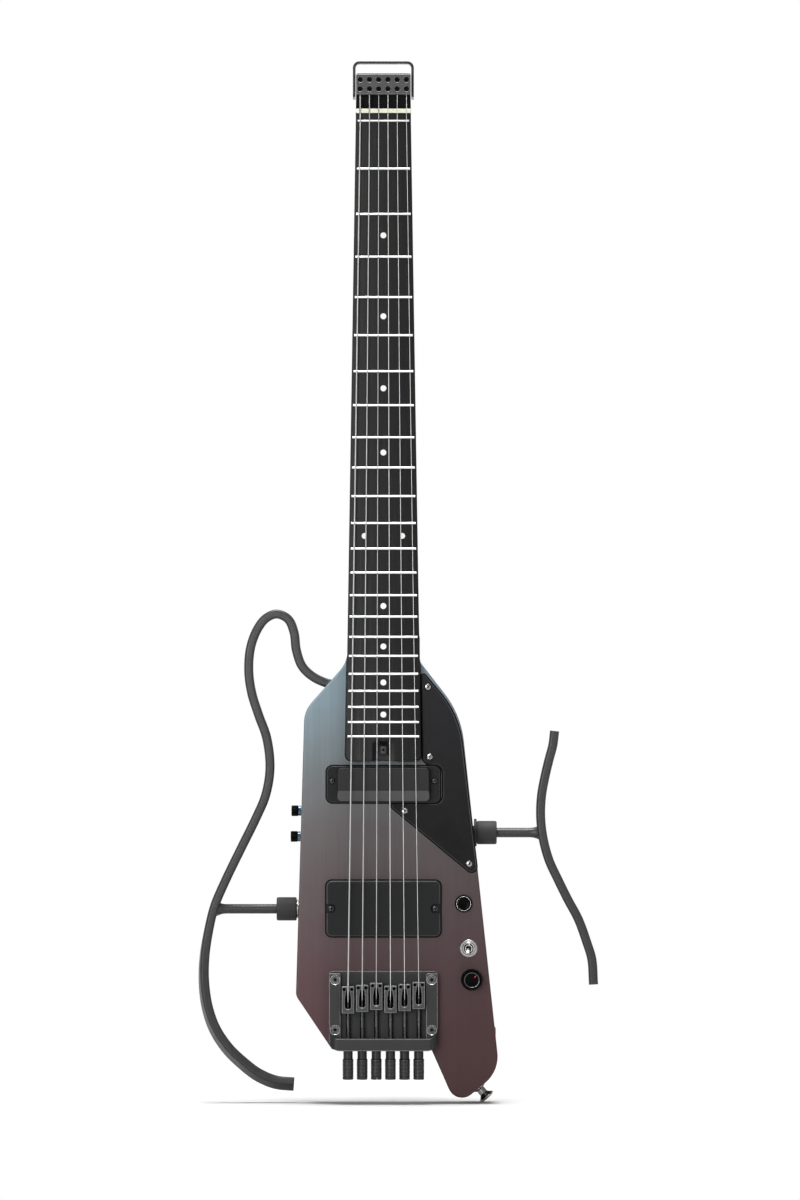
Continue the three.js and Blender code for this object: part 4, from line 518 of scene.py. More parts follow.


# Each coat: colour, roughness, and what differs from the usual coat; edge is how much paler its edges are
# painted, a painted highlight
COATED = {
    "pearl": ((240, 240, 238), 0.3, dict(edge=1.0, bump=0.05, level=0.5)),
    "cream_nut": ((250, 249, 228), 0.35, dict(edge=1.05, bump=0.08, level=0.5)),
    "black_hardware": ((37, 37, 38), 0.4, dict(grain=0.6, bump=0.08, metallic=0.4, edge=4.5)),
    "dark_hardware": ((30, 30, 31), 0.36, dict(metallic=0.4, edge=4.0)),
    "saddle_metal": ((56, 56, 57), 0.4, dict(grain=0.6, bump=0.08, metallic=0.4, edge=4.5)),
    "screw_metal": ((48, 48, 49), 0.3, dict(grain=0.9, bump=0.04, metallic=0.7, edge=5.0)),
    # The next three are painted highlights for bevels, rims and chamfers
    "bright_edge": ((104, 104, 105), 0.3, dict(grain=0.9, bump=0.03, edge=1.0, metallic=0.2)),
    "pale_edge": ((108, 108, 109), 0.4, dict(bump=0.05, edge=1.0, metallic=0.4)),
    "glint_metal": ((176, 176, 177), 0.24, dict(grain=0.9, bump=0.03, edge=1.0, metallic=0.5)),
    "barrel_metal": ((61, 61, 62), 0.34, dict(grain=0.5, bump=0.1, edge=1.5, metallic=0.4)),
    # Painted shade for the recessed floor of the bridge
    "floor_metal": ((26, 28, 27), 0.45, dict(metallic=0.3, edge=1.5)),
    "block_metal": ((66, 66, 67), 0.5, dict(grain=0.5, bump=0.5, metallic=0.4, edge=2.4)),
    # Near black: some pieces' own black, and painted shade in recesses, slots, grooves, bores and the lines
    # round plates
    "deep_black": ((9, 9, 10), 0.6, dict(metallic=0.2, edge=1.2, level=0.1)),
    "rough_black": ((37, 37, 38), 0.68, dict(grain=0.5, bump=0.9, edge=1.3)),
    "black_plastic": ((21, 22, 22), 0.42, dict(grain=0.3, bump=0.12, edge=2.4, level=0.13)),
    "pickup_plastic": ((35, 35, 35), 0.46, dict(grain=0.3, bump=0.12, edge=2.2, level=0.16)),
    # Painted highlight for the rims of black plastic plates
    "plastic_edge": ((36, 36, 38), 0.34, dict(grain=0.3, bump=0.05, edge=1.0, level=0.4)),
    "gloss_plastic": ((7, 8, 7), 0.12, dict(bump=0.02, edge=2.0, level=0.03)),
    # Painted highlight for the rims of glossy knobs and bezels
    "gloss_edge": ((66, 68, 66), 0.14, dict(bump=0.02, edge=1.0, level=0.6)),
    # Painted light for the neck pickup's sloped band, the same plastic as its cover
    "band_plastic": ((63, 63, 64), 0.5, dict(grain=0.3, bump=0.15, edge=1.3)),
    "wheel_metal": ((62, 62, 63), 0.5, dict(metallic=0.2, edge=1.6)),
    "red_mark": ((208, 46, 52), 0.4, dict(edge=1.1, bump=0.05)),
}
# Each metal: colour, roughness, and what differs from the usual metal
PLATED = {
    "fret_metal": ((250, 250, 250), 0.4, dict(stretch=(12, 1, 1), grain=0.3, smear=0.06)),
    "rod_metal": ((84, 84, 84), 0.26, {}),
    "chrome": ((206, 204, 202), 0.16, {}),
    "screw_steel": ((168, 166, 165), 0.24, {}),
    "dark_chrome": ((140, 138, 136), 0.16, {}),
    "blue_chrome": ((86, 104, 122), 0.16, {}),
    "steel": ((176, 175, 174), 0.32, dict(stretch=(1, 1, 8))),
    "battery": ((150, 154, 158), 0.4, dict(stretch=(6, 1, 1))),
}
FINISHES = {
    "body_wood": body_finish(), "neck_wood": neck_finish(), "board_wood": board_finish(),
    "arm_metal": arm_finish(), "guard_plastic": guard_finish(), "circuit_board": circuit_finish(),
    "string_plain": wire_finish("string_plain", 216, 234),
    "string_wound": wire_finish("string_wound", 172, 190, 150),
}
for make, table in ((coated, COATED), (plated, PLATED)):
    for name, (colour, roughness, options) in table.items():
        FINISHES[name] = make(name, srgb(*colour), roughness, **options)


# Outlines and places
def fret_place(number):
    """The height of a fret, by the equal-tempered rule"""
    return -SCALE_LENGTH * (1 - 2 ** (-number / 12))


def before_fret(number):
    """The middle of the space on the head's side of a fret"""
    return (fret_place(number) + fret_place(number - 1)) / 2


def board_half(z):
    """Half the board's width at a height"""
    return BOARD_HEAD_WIDTH / 2 + (BOARD_END_WIDTH - BOARD_HEAD_WIDTH) / 2 * z / BOARD_END


def crown(x):
    """How far the board's face lies behind its crown"""
    return BOARD_RADIUS - sqrt(BOARD_RADIUS ** 2 - x ** 2)


def spaced(index, span):
    """A string's distance from the centre line, where all of them span a width"""
    return span * (index / (len(STRINGS) - 1) - 0.5)


def string_height(index):
    """Height of a string's middle where it crosses the zero fret"""
    return BOARD_TOP - FRET_HEIGHT + crown(spaced(index, NUT_SPAN)) - STRING_DIAMETERS[index] / 2 - GAP


def saddle_face(index):
    """The height of a saddle's front end"""
    return -(SCALE_LENGTH + SADDLE_SETBACKS[index])


def rod_axis(index):
    """The place of a tuner screw's axis, along which its profile runs"""
    return Matrix.Translation((spaced(index, BRIDGE_SPAN), SCREW_AXIS, 0))


def down_body(z_share):
    """A height on the body, as a share of its length from the top"""
    return BODY_TOP - BODY_LENGTH * z_share


def on_body(x_share, z_share):
    """A place on the body, as shares of its width and its length"""
    return BODY_WIDTH * x_share, down_body(z_share)


def placed(shares):
    """Corners on the body from their shares"""
    return [(*on_body(x_share, z_share), radius * BODY_WIDTH) for x_share, z_share, radius in shares]


def rounded(corners, step=ARC_STEP):
    """The points of a polygon with an arc at each corner: (x, z, radius)"""
    points = []
    for i, (x, z, radius) in enumerate(corners):
        corner = Vector((x, z))
        back = Vector(corners[i - 1][:2]) - corner
        ahead = Vector(corners[(i + 1) % len(corners)][:2]) - corner
        room = min(back.length, ahead.length) * 0.49
        back.normalize()
        ahead.normalize()
        half = acos(max(-1.0, min(1.0, back.dot(ahead)))) / 2
        tangent = min(radius / tan(half), room)
        if tangent < MM:
            points.append(corner)
            continue
        centre = corner + (back + ahead).normalized() * (tangent / cos(half))
        start = corner + back * tangent - centre
        end = corner + ahead * tangent - centre
        turn = atan2(start.x * end.y - start.y * end.x, start.dot(end))
        steps = max(1, ceil(abs(turn) / step))
        for s in range(steps + 1):
            points.append(centre + Matrix.Rotation(turn * s / steps, 2) @ start)
    return points


def rectangle(x, z, width, height, radius=0.0):
    """The corners of a rectangle about a middle"""
    left, right, low, high = x - width / 2, x + width / 2, z - height / 2, z + height / 2
    return [(left, low, radius), (right, low, radius), (right, high, radius), (left, high, radius)]


def inset(outline, distance):
    """The outline moved inwards by a distance"""
    if not distance:
        return outline
    area = sum(a.x * b.y - a.y * b.x for a, b in zip(outline, outline[1:] + outline[:1]))
    inward = distance * copysign(1.0, area)
    moved = []
    for before, here, after in zip(outline[-1:] + outline[:-1], outline, outline[1:] + outline[:1]):
        arrive = (here - before).normalized()
        leave = (after - here).normalized()
        middle = Vector((-arrive.y - leave.y, arrive.x + leave.x))
        moved.append(here + middle * (2 * inward / max(middle.length_squared, 0.5)))
    return moved


def body_edge(z, side):
    """How far the body's edge is from the centre line at a height, on the side of sign side"""
    outline = rounded(placed(BODY_SHARES))
    reach = 0.0
    for a, b in zip(outline, outline[1:] + outline[:1]):
        if a.y != b.y and (a.y - z) * (b.y - z) <= 0:
            x = a.x + (b.x - a.x) * (z - a.y) / (b.y - a.y)
            reach = max(reach, side * x)
    return side * reach


# Solid forms
def front(u, v, depth):
    """A plate's point where its outline lies in the front view"""
    return Vector((u, depth, v))


def side(u, v, depth):
    """A plate's point where its outline lies in the side view"""
    return Vector((depth, u, v))


def up(u, v, depth):
    """A plate's point where its outline lies in the plan"""
    return Vector((u, v, depth))


def facing(direction, x, y, z):
    """A place whose local z looks in a direction"""
    turn = Vector((0, 0, 1)).rotation_difference(Vector(direction)).to_matrix().to_4x4()
    return Matrix.Translation((x, y, z)) @ turn


TO_VIEWER, TO_PLAYER = (0, -1, 0), (0, 1, 0)
TO_LEFT, TO_RIGHT = (-1, 0, 0), (1, 0, 0)


def from_edge(z, side):
    """A place on the body's edge whose local z looks out, on the side of sign side"""
    return facing(TO_RIGHT if side > 0 else TO_LEFT, body_edge(z, side), ARM_PLANE, z)


def loft(bm, rings):
    """A closed surface through rings of equal point counts, capped at both ends"""
    layers = [[bm.verts.new(point) for point in ring] for ring in rings]
    for low, high in zip(layers, layers[1:]):
        for i in range(len(low)):
            bm.faces.new((low[i - 1], low[i], high[i], high[i - 1]))
    bm.faces.new(layers[0])
    bm.faces.new(layers[-1])


def rims(start, end, edge, far_edge=None, steps=3):
    """The rings, each (inset, depth), of a plate whose two rims are rounded over"""
    far_edge = edge if far_edge is None else far_edge
    way = copysign(1.0, end - start)
    rings = []
    for radius, face, sign in ((edge, start, way), (far_edge, end, -way)):
        arc = []
        for i in range(steps + 1 if radius else 1):
            angle = pi / 2 * i / steps
            arc.append((radius * (1 - sin(angle)), face + sign * radius * (1 - cos(angle))))
        rings += arc if sign == way else arc[::-1]
    return rings


def slab(bm, outline, rings, to=front):
    """A plate: the outline at each (inset, depth), joined and capped"""
    outline = [Vector(point) for point in outline]
    layers = [(inset(outline, distance), depth) for distance, depth in rings]
    loft(bm, [[to(point.x, point.y, depth) for point in layer] for layer, depth in layers])


def plate(bm, corners, start, end, edge=0.4, far_edge=None, to=front, steps=3):
    """A plate with rounded corners and rims"""
    slab(bm, rounded(corners), rims(start, end, edge, far_edge, steps), to)


def round_form(angle):
    """A turned form's outline: a circle"""
    return 1.0


def hexagon(angle):
    """A turned form's outline: a hexagon"""
    return cos(pi / 6) / cos((angle + pi / 6) % (pi / 3) - pi / 6)


def cross(angle):
    """A cross-head recess: four arms, whose width is a share of their reach"""
    local = abs((angle + pi / 4) % (pi / 2) - pi / 4)
    return min(1.0 / cos(local), 0.26 / max(sin(local), 0.01))


def fluted(count, depth):
    """A turned form's outline: a circle with flutes"""
    return lambda angle: 1 - depth * (0.5 + 0.5 * cos(count * angle))


def turned_ring(bm, place, sides, radius, height, form=round_form):
    """One ring of a turned form"""
    ring = []
    for i in range(sides):
        angle = 2 * pi * i / sides
        reach = radius * form(angle)
        ring.append(bm.verts.new(place @ Vector((reach * cos(angle), reach * sin(angle), height))))
    return ring


def turned(bm, profile, place, sides=36):
    """A turned form: (radius, height) or (radius, height, form) along the place's own z"""
    layers = []
    for radius, height, *form in profile:
        if radius == 0:
            layers.append([bm.verts.new(place @ Vector((0, 0, height)))])
        else:
            layers.append(turned_ring(bm, place, sides, radius, height, *form))
    for low, high in zip(layers, layers[1:]):
        for i in range(sides):
            if len(low) == 1:
                bm.faces.new((low[0], high[i], high[i - 1]))
            elif len(high) == 1:
                bm.faces.new((low[i - 1], low[i], high[0]))
            else:
                bm.faces.new((low[i - 1], low[i], high[i], high[i - 1]))


def tube_ring(bm, profile, place, sides=36):
    """A turned form with a bore: its profile closes on itself"""
    layers = [turned_ring(bm, place, sides, radius, height) for radius, height in profile]
    for low, high in zip(layers, layers[1:] + layers[:1]):
        for i in range(sides):
            bm.faces.new((low[i - 1], low[i], high[i], high[i - 1]))


def pin(radius, start, end):
    """The profile of a plain pin"""
    return [(0, start), (radius, start), (radius, end), (0, end)]


def well(radius, floor, chamfer, mouth, beyond):
    """The profile of a round well with a chamfered mouth, which opens out at height mouth"""
    return [(0, floor), (radius, floor), (radius, mouth - chamfer), (radius + chamfer, mouth),
            (radius + chamfer, beyond), (0, beyond)]


def mesh_of(name, bm):
    """A mesh from a finished form, its faces turned outwards"""
    mesh = bpy.data.meshes.new(name)
    bmesh.ops.recalc_face_normals(bm, faces=bm.faces)
    bm.to_mesh(mesh)
    bm.free()
    return mesh


def linked(name, data):
    """A new object in the scene"""
    made = bpy.data.objects.new(name, data)
    bpy.context.scene.collection.objects.link(made)
    return made


def carved(bm, cutters, operation="DIFFERENCE"):
    """The solid with each cutter taken out, joined to it, or all that lies inside it kept"""
    target, *tools = (linked("scratch", mesh_of("scratch", form)) for form in (bm, *cutters))
    for tool in tools:
        cut = target.modifiers.new("cut", "BOOLEAN")
        cut.operation = operation
        cut.solver = "EXACT"
        cut.object = tool
    result = bmesh.new()
    result.from_object(target, bpy.context.evaluated_depsgraph_get())
    bmesh.ops.remove_doubles(result, verts=result.verts, dist=WELD)
    for made in [target, *tools]:
        mesh = made.data
        bpy.data.objects.remove(made)
        bpy.data.meshes.remove(mesh)
    return result


def formed(build, *values, **named):
    """A new mesh that holds one of the forms above"""
    bm = bmesh.new()
    build(bm, *values, **named)
    return bm


def second_finish(mesh, finish, chosen):
    """Another finish on the chosen faces"""
    mesh.materials.append(FINISHES[finish])
    for face in mesh.polygons:
        if chosen(face):
            face.material_index = len(mesh.materials) - 1


def bevelled(face):
    """Whether a face slopes between the front or back and the sides"""
    return 0.15 < abs(face.normal.y) < 0.97


def near(places, reach):
    """Chooses the faces within a reach of any of the places, seen from the front"""
    middles = [(TO_ROW @ Vector((x, 0, z))).xz for x, z in places]
    return lambda face: min((face.center.xz - middle).length for middle in middles) < reach * MM


def piece(name, bm, finish, body="instrument", nodes=(), angle=34, rim=None):
    """A finished piece that rides on a body and stands for CAD nodes, its bevels in a second finish: painted
    highlight on most pieces, painted shade on the toggle's nut and bushing
    """
    mesh = mesh_of(name, bm)
    mesh.transform(TO_ROW)
    mesh.materials.append(FINISHES[finish])
    if rim:
        second_finish(mesh, rim, bevelled)
    mesh.shade_smooth()
    mesh.set_sharp_from_angle(angle=radians(angle))
    made = linked(name, mesh)
    made.modifiers.new("weighted", "WEIGHTED_NORMAL").keep_sharp = True
    if body:
        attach(made, body)
    if nodes:
        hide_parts(*nodes)
    return made


# Fasteners
def socket_screw(bm, place, radius, height, socket=0.5, edge=0.25):
    """A cap screw with a hexagon socket"""
    key = radius * socket
    floor = height - radius * 0.7
    turned(bm, [
        (0, floor), (key, floor, hexagon), (key, height, hexagon),
        (radius - edge, height), (radius, height - edge), (radius, 0), (0, 0),
    ], place)


def cross_screw(bm, place, radius, height):
    """A domed screw head with a cross recess"""
    key = radius * 0.62
    rim = height * 0.35
    turned(bm, [
        (0, height * 0.3 - radius * 0.2), (key * 0.35, height * 0.3 - radius * 0.1, cross),
        (key, height, cross), (radius * 0.78, height * 0.9), (radius * 0.94, (rim + height) / 2 * 0.9),
        (radius, rim * 0.6), (radius, -GAP), (0, -GAP),
    ], place, sides=48)


def make_face_screws(name, finish, places, radius, height, recess):
    """The cross-head screws of a plate in the front, their recesses painted near black as painted shade"""
    bm = bmesh.new()
    for place in places:
        cross_screw(bm, place, radius, height)
    made = piece(name, bm, finish)
    middles = [(place.translation.x, place.translation.z) for place in places]
    # Painted shade: the cross recesses are near black
    second_finish(made.data, "deep_black", near(middles, recess))


def make_shadow_line(name, outline):
    """The dark line round a plate, a painted shadow: a thin near-black pad under it that reaches past its
    edge
    """
    rings = [(-SHADOW_LINE_REACH, -GAP), (-SHADOW_LINE_REACH, -SHADOW_LINE_HEIGHT * 0.6), (-SHADOW_LINE_REACH * 0.6, -SHADOW_LINE_HEIGHT),
             (0.8, -SHADOW_LINE_HEIGHT)]
    piece(name, formed(slab, rounded(outline), rings), "deep_black", angle=60)


# Neck
def end_corner(steps=8):
    """Round the board's end corners: distance from the end, and how far the edge has drawn in"""
    angles = [pi / 2 * i / steps for i in range(1, steps + 1)]
    return [(BOARD_CORNER * (1 - sin(a)), BOARD_CORNER * (1 - cos(a))) for a in angles]


def wheel_notch(start, end):
    """The opening at the board's end through which the truss rod's wheel is turned"""
    outline = rectangle(0, BOARD_END, NOTCH_WIDTH, NOTCH_LENGTH * 2, NOTCH_RADIUS)
    return formed(plate, outline, start, end, 0)


def neck_ring(z, depth, squareness, narrower=0.0):
    """A section of the neck: flat under the board, rounded or nearly square behind"""
    half = board_half(z) - GAP - narrower
    top = BOARD_BACK + GAP
    ring = [Vector((-half, top, z)), Vector((half, top, z))]
    for i in range(NECK_SIDES + 1):
        angle = pi * i / NECK_SIDES
        across = copysign(abs(cos(angle)) ** (2 / squareness), cos(angle))
        down = abs(sin(angle)) ** (2 / squareness)
        ring.append(Vector((half * across, top + NECK_SHOULDER + (depth - NECK_SHOULDER) * down, z)))
    return ring


def make_neck():
    """The shaft from its deck to its heel; each station is a height, a depth and a squareness"""
    stations = [
        (DECK_END, 11.6, 2), (DECK_END - 0.6, 12, 2), (DECK_END - 20, 12, 2), (0, 14, 2),
        (BODY_TOP + 30, 16.2, 2), (BODY_TOP + 16, 16.5, 2.2), (BODY_TOP + 6, 17.2, 3), (BODY_TOP, 18.2, 6),
        (BODY_TOP - 6, HEEL_BACK, HEEL_SQUARENESS), (BOARD_END + BOARD_CORNER, HEEL_BACK, HEEL_SQUARENESS),
    ]
    stations += [(BOARD_END + GAP + back, HEEL_BACK, HEEL_SQUARENESS, drawn) for back, drawn in end_corner()]
    room = WHEEL_AXIS + WHEEL_DIAMETER / 2 + 0.6
    bm = formed(loft, [neck_ring(*station) for station in stations])
    piece("neck_shaft", carved(bm, [wheel_notch(BOARD_BACK - CUT, room)]), "neck_wood", nodes=("neck",))


def board_ring(z, half, edge=BOARD_EDGE):
    """A section of the board: flat under, upright sides, rolled edges and a crowned face"""
    ring = [Vector((-half, BOARD_BACK, z))]
    arc = [pi / 2 * i / 4 for i in range(5)]
    for angle in arc:
        x = -half + edge * (1 - cos(angle))
        ring.append(Vector((x, BOARD_TOP + crown(x) + edge * (1 - sin(angle)), z)))
    for i in range(1, 16):
        x = (half - edge) * (2 * i / 16 - 1)
        ring.append(Vector((x, BOARD_TOP + crown(x), z)))
    for angle in reversed(arc):
        x = half - edge * (1 - cos(angle))
        ring.append(Vector((x, BOARD_TOP + crown(x) + edge * (1 - sin(angle)), z)))
    ring.append(Vector((half, BOARD_BACK, z)))
    return ring


def make_fingerboard():
    """The board with its rolled edges and round end corners, and the deck under the nut"""
    rings = [board_ring(5.7, board_half(0))]
    rings += [board_ring(z, board_half(z)) for z in (0, -160, -320, BOARD_END + BOARD_CORNER)]
    for back, drawn in end_corner():
        z = BOARD_END + back
        rings.append(board_ring(z, board_half(z) - drawn))
    bm = carved(formed(loft, rings), [wheel_notch(BOARD_TOP - CUT, BOARD_BACK + CUT)])
    piece("board", bm, "board_wood", nodes=("fingerboard",), angle=28)
    deck = [(-board_half(DECK_END), DECK_END, 0.8), (board_half(DECK_END), DECK_END, 0.8),
            (board_half(0), NUT_LOW, 0), (-board_half(0), NUT_LOW, 0)]
    piece("head_deck", formed(plate, deck, DECK_TOP, BOARD_BACK, 0.3, 0), "deep_black")


def make_fret(bm, number):
    """A half-round wire with dressed ends, laid over the crown of the board"""
    z = fret_place(number)
    half = board_half(z) - FRET_INSET
    rings = []
    for i in range(FRET_STATIONS + 1):
        share, height = 2 * i / FRET_STATIONS - 1, FRET_HEIGHT
        if i in (0, FRET_STATIONS):
            height *= FRET_END_HEIGHT
        elif i in (1, FRET_STATIONS - 1):
            height *= FRET_DRESSED_HEIGHT
            share = copysign(1 - FRET_DRESSED, share)
        x = half * share
        face = BOARD_TOP + crown(x)
        angles = [pi * s / FRET_SIDES for s in range(FRET_SIDES + 1)]
        ring = [Vector((x, face - height * sin(a) ** 0.8, z + FRET_WIDTH / 2 * cos(a))) for a in angles]
        ring += [Vector((x, face + 0.3, z + aside)) for aside in (-FRET_WIDTH / 2, FRET_WIDTH / 2)]
        rings.append(ring)
    loft(bm, rings)


def make_frets():
    """The zero fret and the others"""
    bm = bmesh.new()
    for number in range(FRET_COUNT + 1):
        make_fret(bm, number)
    piece("frets", bm, "fret_metal", angle=50)


def make_dots():
    """The dots in the board's face and along its edge"""
    places = [(0, number) for number in SINGLE_DOTS]
    places += [(-DOUBLE_DOT_ASIDE, OCTAVE), (DOUBLE_DOT_ASIDE, OCTAVE)]
    bm = bmesh.new()
    for x, number in places:
        place = facing(TO_VIEWER, x, BOARD_TOP + crown(x), before_fret(number))
        turned(bm, pin(DOT_RADIUS, -0.6, 0.03), place, sides=28)
    piece("inlay_dots", bm, "pearl")
    bm = bmesh.new()
    for number in (*SINGLE_DOTS, OCTAVE):
        z = before_fret(number)
        turned(bm, pin(SIDE_DOT_RADIUS, -0.4, 0.04), facing(TO_LEFT, -board_half(z), -5.2, z), sides=16)
    piece("side_dots", bm, "pearl")


def make_truss_wheel():
    """A wheel with three holes through it for the pin that turns it"""
    low, radius = WHEEL_TOP - WHEEL_LENGTH, WHEEL_DIAMETER / 2
    bm = formed(turned, [
        (0, low), (2.6, low), (radius - 0.3, low + 0.3), (radius, low + 0.8), (radius, WHEEL_TOP - 0.8),
        (radius - 0.3, WHEEL_TOP - 0.3), (0, WHEEL_TOP),
    ], Matrix.Translation((0, WHEEL_AXIS, 0)), sides=44)
    holes = []
    for i in range(3):
        turn = Matrix.Rotation(pi * i / 3 + 0.01, 4, "Z")
        middle = Matrix.Translation((0, WHEEL_AXIS, WHEEL_TOP - WHEEL_LENGTH / 2)) @ turn
        holes.append(formed(turned, pin(1.0, -6, 6), middle @ facing(TO_VIEWER, 0, 0, 0), sides=16))
    piece("rod_wheel", carved(bm, holes), "wheel_metal", "truss_rod_wheel", ("truss_rod_wheel",))


def make_nut():
    """A cream bar with a groove for each string"""
    half = board_half(NUT_LOW)
    corner = ((0, 0.9), (0.3, 0.3), (0.9, 0))
    top = [(-half + aside, NUT_TOP + down) for aside, down in corner]
    for i in STRINGS:
        x, radius = spaced(i, NUT_SPAN), STRING_DIAMETERS[i] / 2 + GAP
        middle = string_height(i)
        top += [(x - radius - 0.2, NUT_TOP), (x - radius, middle)]
        top += [(x - radius * cos(a), middle + radius * sin(a)) for a in (0.8, 1.57, 2.34)]
        top += [(x + radius, middle), (x + radius + 0.2, NUT_TOP)]
    top += [(half - aside, NUT_TOP + down) for aside, down in reversed(corner)]
    section = top + [(half, DECK_TOP), (-half, DECK_TOP)]
    bm = formed(slab, section, [(0, NUT_LOW), (0, NUT_HIGH)], up)
    piece("string_nut", bm, "cream_nut", nodes=("nut",))


# Head
def make_head_block():
    """The clamp that holds the strings' ends, with two rows of socket screws sunk in it"""
    outline = rectangle(0, (BLOCK_LOW + BLOCK_HIGH) / 2, BLOCK_WIDTH, BLOCK_HIGH - BLOCK_LOW, 0.7)
    bm = formed(plate, outline, BLOCK_FRONT, DECK_TOP - GAP, 0.6, 0)
    holes = []
    screws = bmesh.new()
    for i in STRINGS:
        x = spaced(i, NUT_SPAN)
        for z in (BLOCK_LOW + CLAMP_INSET, BLOCK_HIGH - CLAMP_INSET):
            place = facing(TO_VIEWER, x, BLOCK_FRONT, z)
            holes.append(formed(turned, well(2.0, -3.8, 0.5, 0.05, 1), place, sides=24))
            turn = facing(TO_VIEWER, x, BLOCK_FRONT + 3.4, z) @ Matrix.Rotation(0.7 * i + z, 4, "Z")
            socket_screw(screws, turn, CLAMP_SCREW_RADIUS, CLAMP_SCREW_HEIGHT, 0.5, 0.2)
    # Painted highlight on the block's chamfers and on the screws' bevels; the screws are near black, their
    # own black deepened to painted shade in the holes
    piece("clamp_block", carved(bm, holes), "block_metal", nodes=("head_block",), rim="pale_edge")
    piece("clamp_screws", screws, "deep_black", rim="bright_edge")


def make_head_bail():
    """A strap bent to a U, its feet rounded seen from the side, screwed to both sides of the block"""
    inner = BAIL_HALF - BAIL_THICK
    inner_top, inner_radius = BAIL_TOP - BAIL_THICK, BAIL_RADIUS - BAIL_THICK
    outline = [
        (-BAIL_HALF, BAIL_FOOT, 0), (-BAIL_HALF, BAIL_TOP, BAIL_RADIUS), (BAIL_HALF, BAIL_TOP, BAIL_RADIUS),
        (BAIL_HALF, BAIL_FOOT, 0), (inner, BAIL_FOOT, 0), (inner, inner_top, inner_radius),
        (-inner, inner_top, inner_radius), (-inner, BAIL_FOOT, 0),
    ]
    bm = formed(slab, rounded(outline), rims(BAIL_FRONT, BAIL_BACK, 0.45))
    near_side, far_side = BAIL_FRONT - 0.01, BAIL_BACK + 0.01
    profile = [(near_side, BAIL_TOP + CUT, 0), (near_side, BAIL_FOOT, BAIL_FOOT_RADIUS),
               (far_side, BAIL_FOOT, BAIL_FOOT_RADIUS), (far_side, BAIL_TOP + CUT, 0)]
    tool = formed(slab, rounded(profile), [(0, -BAIL_HALF - CUT), (0, BAIL_HALF + CUT)], side)
    made = piece("hanger_bail", carved(bm, [tool], "INTERSECT"), "screw_metal", nodes=("head_bail",))
    # Painted highlight on the underside of the top bar
    second_finish(made.data, "glint_metal", lambda face: face.normal.z < -0.7)
    screws = bmesh.new()
    for direction, x in ((TO_LEFT, -BAIL_HALF), (TO_RIGHT, BAIL_HALF)):
        place = facing(direction, x - copysign(0.6, x), -3, BAIL_FOOT + 5)
        socket_screw(screws, place, 2.4, 0.55, 0.5, 0.3)
    piece("bail_screws", screws, "dark_hardware")


# Strings
def make_string(index):
    """A wire from the clamp over the zero fret to its saddle, and down the slot"""
    x0, x1 = spaced(index, NUT_SPAN), spaced(index, BRIDGE_SPAN)
    face = saddle_face(index)
    y0, radius = string_height(index), STRING_DIAMETERS[index] / 2
    back, y1 = STRING_LIP
    zero, lip = Vector((x0, y0, 0)), Vector((x1, y1, face - back))
    path = [Vector((x0, y0, STRING_START)), Vector((x0, y0, STRING_SECOND)), zero]
    path += [zero.lerp(lip, (step + 1) / STRING_STEPS) for step in range(STRING_STEPS)]
    path += [Vector((x1, y, face - back)) for back, y in STRING_DROP]
    angles = [2 * pi * i / STRING_SIDES for i in range(STRING_SIDES)]
    around = [Vector((radius * cos(a), radius * sin(a), 0)) for a in angles]
    bm = formed(loft, [[point + offset for offset in around] for point in path])
    finish = "string_wound" if index < 3 else "string_plain"
    made = piece(f"wire_{index + 1}", bm, finish, body=None, nodes=(f"string_{index + 1}",), angle=60)
    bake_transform(made)


# Body
def neck_screw_places():
    """Where the four neck screws are, from the back"""
    sides = (-NECK_SCREW_ASIDE, NECK_SCREW_ASIDE)
    return [(x, down_body(share)) for share in NECK_SCREW_SHARES for x in sides]


def heel_cutter():
    """Rounds over the back of the body's upper end"""
    middle, centre = BODY_BACK - HEEL_ROUND, BODY_TOP - HEEL_ROUND
    angles = [pi / 2 * i / 12 for i in range(13)]
    arc = [(middle + HEEL_ROUND * cos(a), centre + HEEL_ROUND * sin(a)) for a in angles]
    behind, above = BODY_BACK + CUT, BODY_TOP + CUT
    outside = [(behind, centre), *arc, (middle, above), (behind, above)]
    return formed(slab, outside, [(0, -BODY_WIDTH), (0, BODY_WIDTH)], side)


def pocket_cutter():
    """The neck's pocket, chamfered round its mouth"""
    top, low = board_half(BODY_TOP) + POCKET_GAP, board_half(BOARD_END) + POCKET_GAP
    end = BOARD_END - POCKET_GAP
    pocket = [(-top, BODY_TOP + CUT, 0), (top, BODY_TOP + CUT, 0), (low, end, BOARD_CORNER),
              (-low, end, BOARD_CORNER)]
    mouth = [(-POCKET_CHAMFER, -CUT), (-POCKET_CHAMFER, 0), (0, POCKET_CHAMFER), (0, HEEL_DEPTH)]
    return formed(slab, rounded(pocket), mouth)


